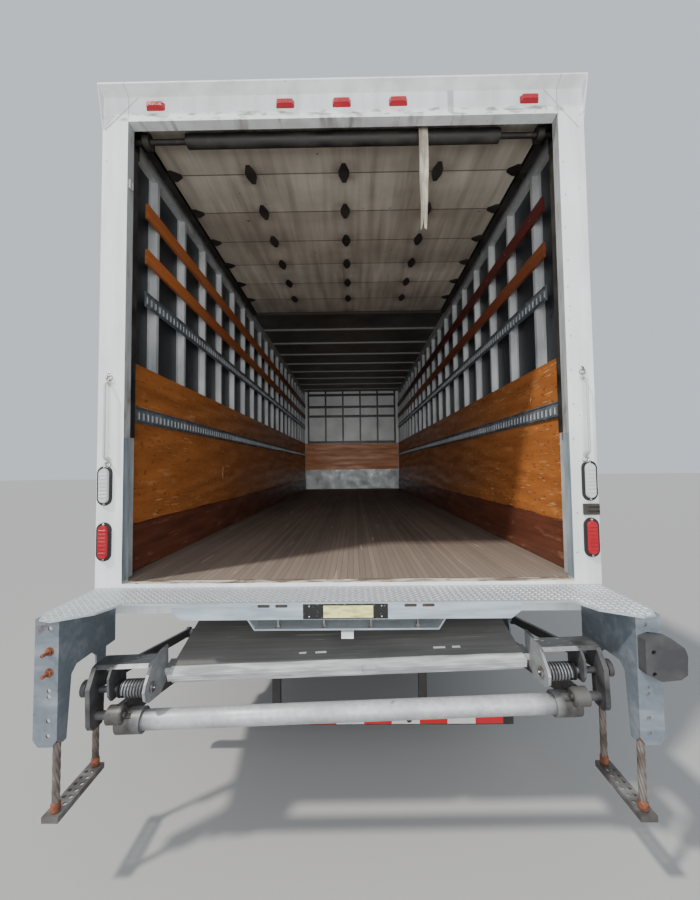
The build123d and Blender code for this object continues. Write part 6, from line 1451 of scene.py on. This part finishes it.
# Door handles. A dark moulded cup let into each door, with a pull paddle across it and a
# round lock beside it; the handles and the door windows' strips turn with their doors.
handle = plate("door_handle_right", at(1.0385, COWL - 0.990, 0.190), at(1.0475, COWL - 0.830, 0.262),
               0.004, 2)
worked(handle, "FACE", lambda face: face.normal.x > 0.99 and face.area > 0.002)
bpy.ops.mesh.inset(thickness=0.007, depth=0)
bpy.ops.mesh.inset(thickness=0.004, depth=-0.006)
done(handle)
paddle = plate("paddle", at(1.0425, COWL - 0.976, 0.206), at(1.0500, COWL - 0.868, 0.246), 0.003, 2)
lock = turned("lock", ((0, 0.009), (0.003, 0.009), (0.004, 0.007)), at(1.0455, COWL - 0.850, 0.226),
              (1, 0, 0), 16)
handle = joined("door_handle_right", [handle, paddle, lock])
for piece, slot, finish in ((rounded_off(door_strip), "cab_trim", seal_rubber),
                            (rounded_off(handle), "mirror_black", seal_rubber)):
    image = other_side(piece, piece.name.replace("right", "left"))
    hand_over(piece, "door_right", finish)
    hand_over(image, "door_left", finish)

# Wipers. Two pressed arms sprung down on rubber blades, parked along the foot of the
# windscreen, each on a turned boss.
to_left = Vector((-1, 0, 0))
up_slope = Vector((0, -0.4847, 0.8747))
screen_frame = Matrix((to_left, up_slope, to_left.cross(up_slope))).transposed().to_4x4()
screen_frame = Matrix.Translation(screen_at(0, 1.800)) @ screen_frame
blade = plate("wiper_blade", (0.02, 0.030, -0.016), (0.60, 0.036, -0.001), 0.001)
carrier = plate("carrier", (0.08, 0.027, -0.002), (0.54, 0.039, 0.004), 0.002, 2)
arm = plate("wiper_arm", (0, -0.009, 0.003), (0.40, 0.009, 0.010), 0.002, 2)
worked(arm, "FACE", lambda face: face.normal.x > 0.9)
bpy.ops.transform.resize(value=(1, 0.5, 0.7), center_override=(0.40, 0, 0.006))
done(arm)
arm.data.transform(Matrix.Translation((0.66, -0.065, 0.001)) @ about("Z", 165))
boss = turned("boss", ((-0.010, 0.020), (0.008, 0.020), (0.013, 0.014), (0.018, 0.012)),
              (0.66, -0.065, 0.001), (0, 0, 1), 20)
wiper = joined("wipers", [blade, carrier, arm, boss])
wiper.data.transform(screen_frame)
hand_over(rounded_off(copied("wipers", wiper, [(0.0, 0, 0), (0.72, 0, 0)])), "root",
          seal_rubber)

# Cab glass. Faintly green safety glass, bonded into the cab and sliding in the doors'
# channels, smeared with dust.
glass, tree, shader = new_finish("glass", tint(196, 210, 208), 0.03)
shader.inputs["Transmission Weight"].default_value = 1.0
shader.inputs["IOR"].default_value = 1.45
smear = cloudy(tree, place_at(tree), 4.0, 0.3, 0.8, 5)
tree.links.new(ranged(tree, smear, 0, 1, 0.02, 0.09), shader.inputs["Roughness"])
dress(glass, "cab_glass", "door_glass_left", "door_glass_right")


# Grille and headlamps. Dark moulded bars; square lamps with a bright pressed bowl, a
# bulb and a clear lens, held in moulded bezels.
def grained_plastic(name, colour, roughness=0.6):
    """Moulded plastic with a fine leather grain."""
    material, tree, shader = new_finish(name, colour, roughness)
    cells = tree.nodes.new("ShaderNodeTexVoronoi")
    cells.inputs["Scale"].default_value = 420
    tree.links.new(place_at(tree), cells.inputs["Vector"])
    faded = cloudy(tree, place_at(tree), 3.0, 0.35, 0.8, 5)
    pale = tuple(min(1.0, c * 1.6 + 0.01) for c in colour)
    coloured(tree, shader, blended(tree, faded, colour, pale))
    relief(tree, shader, cells.outputs["Distance"], 0.3, 0.0008)
    return material


grille_plastic = grained_plastic("grille_plastic", tint(46, 47, 49), 0.45)
dress(grille_plastic, "hood_front")
HOOD_FRONT = 10.860
bowl_metal, tree, shader = new_finish("lamp_bowl", (0.80, 0.81, 0.83), 0.12, 1.0)
tree.links.new(ranged(tree, cloudy(tree, place_at(tree), 6.0), 0, 1, 0.08, 0.2), shader.inputs["Roughness"])
lamp_plate = plate("lamp_bowls", above_ground(0.672, HOOD_FRONT - 0.0150, 0.972),
                   above_ground(0.888, HOOD_FRONT - 0.0120, 1.108), 0.001)
bowl = turned("bowl", ((0, 0.062), (0.005, 0.064), (0.005, 0.058), (0.0015, 0.040), (0.0008, 0.016),
                       (0.005, 0.012), (0.006, 0.006)),
              above_ground(0.780, HOOD_FRONT - 0.0125, 1.040), (0, 1, 0), 32)
hand_over(rounded_off(mirrored(joined("lamp_bowls", [lamp_plate, bowl]))), "hood", bowl_metal)
lens_piece = plate("lamp_lenses", above_ground(0.667, HOOD_FRONT - 0.0055, 0.967),
                   above_ground(0.893, HOOD_FRONT - 0.0010, 1.113), 0.002, 2)
hand_over(rounded_off(mirrored(lens_piece)), "hood", glass)
bezel_corners = [above_ground(x, HOOD_FRONT - 0.0005, high)
                 for x, high in ((0.905, 0.955), (0.655, 0.955), (0.655, 1.125), (0.905, 1.125))]
bezel = window_strip("lamp_bezels", bezel_corners, 0.012, 0.004)
hand_over(rounded_off(mirrored(bezel)), "hood", grille_plastic)


# Marker lamps. Domed lenses of moulded plastic: ribbed amber ones on the cab's roof, the
# bumper and the front of the body, and red ones low down at the back of each side.
def marker(name, size):
    """A domed lens lying on the ground plane, raised along +Z."""
    lens = plate(name, (-size[0] / 2, -size[1] / 2, -0.002), (size[0] / 2, size[1] / 2, size[2]), 0.0025, 2)
    worked(lens, "FACE", lambda face: face.normal.z > 0.99 and face.area > 0.0004)
    bpy.ops.mesh.inset(thickness=min(size[:2]) * 0.22, depth=size[2] * 0.25)
    return done(lens)


amber, tree, shader = new_finish("amber_lens", tint(232, 122, 16), 0.2)
ribs = tree.nodes.new("ShaderNodeTexWave")
ribs.bands_direction = "Z"
ribs.inputs["Scale"].default_value = 60
tree.links.new(place_at(tree), ribs.inputs["Vector"])
burnt = cloudy(tree, place_at(tree), 18.0)
coloured(tree, shader, blended(tree, burnt, tint(236, 128, 18), tint(204, 92, 10)))
relief(tree, shader, ribs.outputs["Fac"], 0.5, 0.002)
facing_right = about("Y", 90)
facing_ahead = about("X", -90)
lens = marker("amber_markers", (0.10, 0.045, 0.022))
top_lamps = copied("roof_lamps", lens, [above_ground(x, COWL - 0.640, 2.500)
                                        for x in (-0.72, -0.24, 0.0, 0.24, 0.72)])
lens = marker("bumper_lamps", (0.13, 0.055, 0.012))
swept = [Matrix.Translation(above_ground(side * 1.020, 10.9290, 0.590)) @ about("Z", -23.2 * side)
         @ facing_ahead for side in (-1, 1)]
bumper_lamps = copied("bumper_lamps", lens, swept)
lens = marker("body_lamps", (0.045, 0.10, 0.016))
spots = [(half_width, 7.85, 0.02), (half_width, 4.10, 0.02), (half_width, 7.95, 2.50)]
side_lamps = mirrored(copied("side_lamps", lens, [Matrix.Translation(at(*spot)) @ facing_right
                                                  for spot in spots]))
hand_over(rounded_off(joined("amber_markers", [top_lamps, bumper_lamps, side_lamps])), "root",
          amber)
lens = marker("red_side_lamps", (0.045, 0.10, 0.016))
lens.data.transform(Matrix.Translation(at(half_width, 0.60, 0.02)) @ facing_right)
hand_over(rounded_off(mirrored(lens)), "root", bpy.data.materials["lamp_red"])

# Number plate. A blank plate of pressed aluminium, painted white, on two screws under
# the bumper's lower edge.
blank_plate = plate("number_plate", above_ground(-0.155, 10.9620, 0.236),
                    above_ground(0.155, 10.9650, 0.392), 0.0012)
worked(blank_plate, "FACE", lambda face: face.normal.y > 0.99 and face.area > 0.01)
bpy.ops.mesh.inset(thickness=0.006, depth=0)
bpy.ops.mesh.inset(thickness=0.002, depth=-0.001)
done(blank_plate)
plate_finish, tree, shader = new_finish("number_plate", tint(222, 224, 220), 0.4)
grimy = cloudy(tree, place_at(tree), 20.0, 0.45, 0.8, 6)
coloured(tree, shader, blended(tree, grimy, tint(224, 226, 222), tint(160, 156, 146)))
hand_over(blank_plate, "root", plate_finish)
screw = turned("plate_screws", ((0, 0.007), (0.002, 0.007), (0.004, 0.004)), (0, 0, 0), (0, 1, 0), 14)
hand_over(copied("plate_screws", screw, [above_ground(x, 10.9645, 0.370) for x in (-0.09, 0.09)]), "root",
          bright_steel)

# Mirrors. Black moulded housings on tube arms, each with a large glass and a small one
# below it, bonded in and facing back.
dress(grained_plastic("mirror_black", tint(34, 34, 36), 0.5), "mirrors")
mirror_glass, tree, shader = new_finish("mirror_glass", (0.78, 0.80, 0.82), 0.03, 1.0)
tree.links.new(ranged(tree, cloudy(tree, place_at(tree), 5.0), 0, 1, 0.02, 0.10), shader.inputs["Roughness"])
face_y = COWL - 0.100
panes = []
for low, high in ((1.880, 2.188), (1.792, 1.860)):
    pane = plate("mirror_pane", above_ground(1.272, face_y - 0.002, low),
                 above_ground(1.458, face_y + 0.001, high), 0.0012)
    panes.append(pane)
hand_over(mirrored(joined("mirror_panes", panes)), "root", mirror_glass)


# Cab inside. Grained dashboard with dials and air vents, woven cloth seats, and a
# steering wheel in hard plastic.
def on_dash(x, share):
    """A place on the dashboard's sloping top face, from its near edge to its far one."""
    return above_ground(x, COWL - 0.330 + DASH_DEPTH * share, 1.560 + DASH_HEIGHT * share)


DASH_DEPTH = 0.110
DASH_HEIGHT = 0.130
DASH_RISE = math.degrees(math.atan2(DASH_HEIGHT, DASH_DEPTH))
dash_slope = Vector((0, -DASH_HEIGHT, DASH_DEPTH)).normalized()
cab_trim = grained_plastic("cab_trim", tint(84, 85, 88))
dress(cab_trim, "cab_interior", "steering_wheel")
seat_cloth, tree, shader = new_finish("seat_cloth", tint(72, 74, 80), 0.95)
shader.inputs["Sheen Weight"].default_value = 0.3
weave = tree.nodes.new("ShaderNodeTexChecker")
weave.inputs["Scale"].default_value = 420
tree.links.new(place_at(tree), weave.inputs["Vector"])
faded = cloudy(tree, place_at(tree), 6.0, 0.35, 0.8, 5)
coloured(tree, shader, blended(tree, faded, tint(66, 68, 74), tint(96, 98, 104)))
relief(tree, shader, weave.outputs["Fac"], 0.3, 0.0008)
dress(seat_cloth, "seats")
dials = [turned("dial", ((-0.001, size), (0.004, size), (0.004, size * 0.9), (0.0015, size * 0.86)),
                on_dash(x, 0.5), dash_slope, 28)
         for x, size in ((-0.505, 0.046), (-0.400, 0.046), (-0.585, 0.024), (-0.320, 0.024))]
vents = []
for x in (-0.82, -0.12, 0.12, 0.82):
    for share in (0.30, 0.45, 0.60, 0.75):
        slat = plate("vent_slat", (-0.045, -0.0045, -0.001), (0.045, 0.0045, 0.004), 0.001)
        slat.data.transform(Matrix.Translation(on_dash(x, share)) @ about("X", DASH_RISE))
        vents.append(slat)
hand_over(rounded_off(joined("dash_details", dials + vents)), "root",
          grained_plastic("dash_dark", tint(34, 35, 37), 0.5))
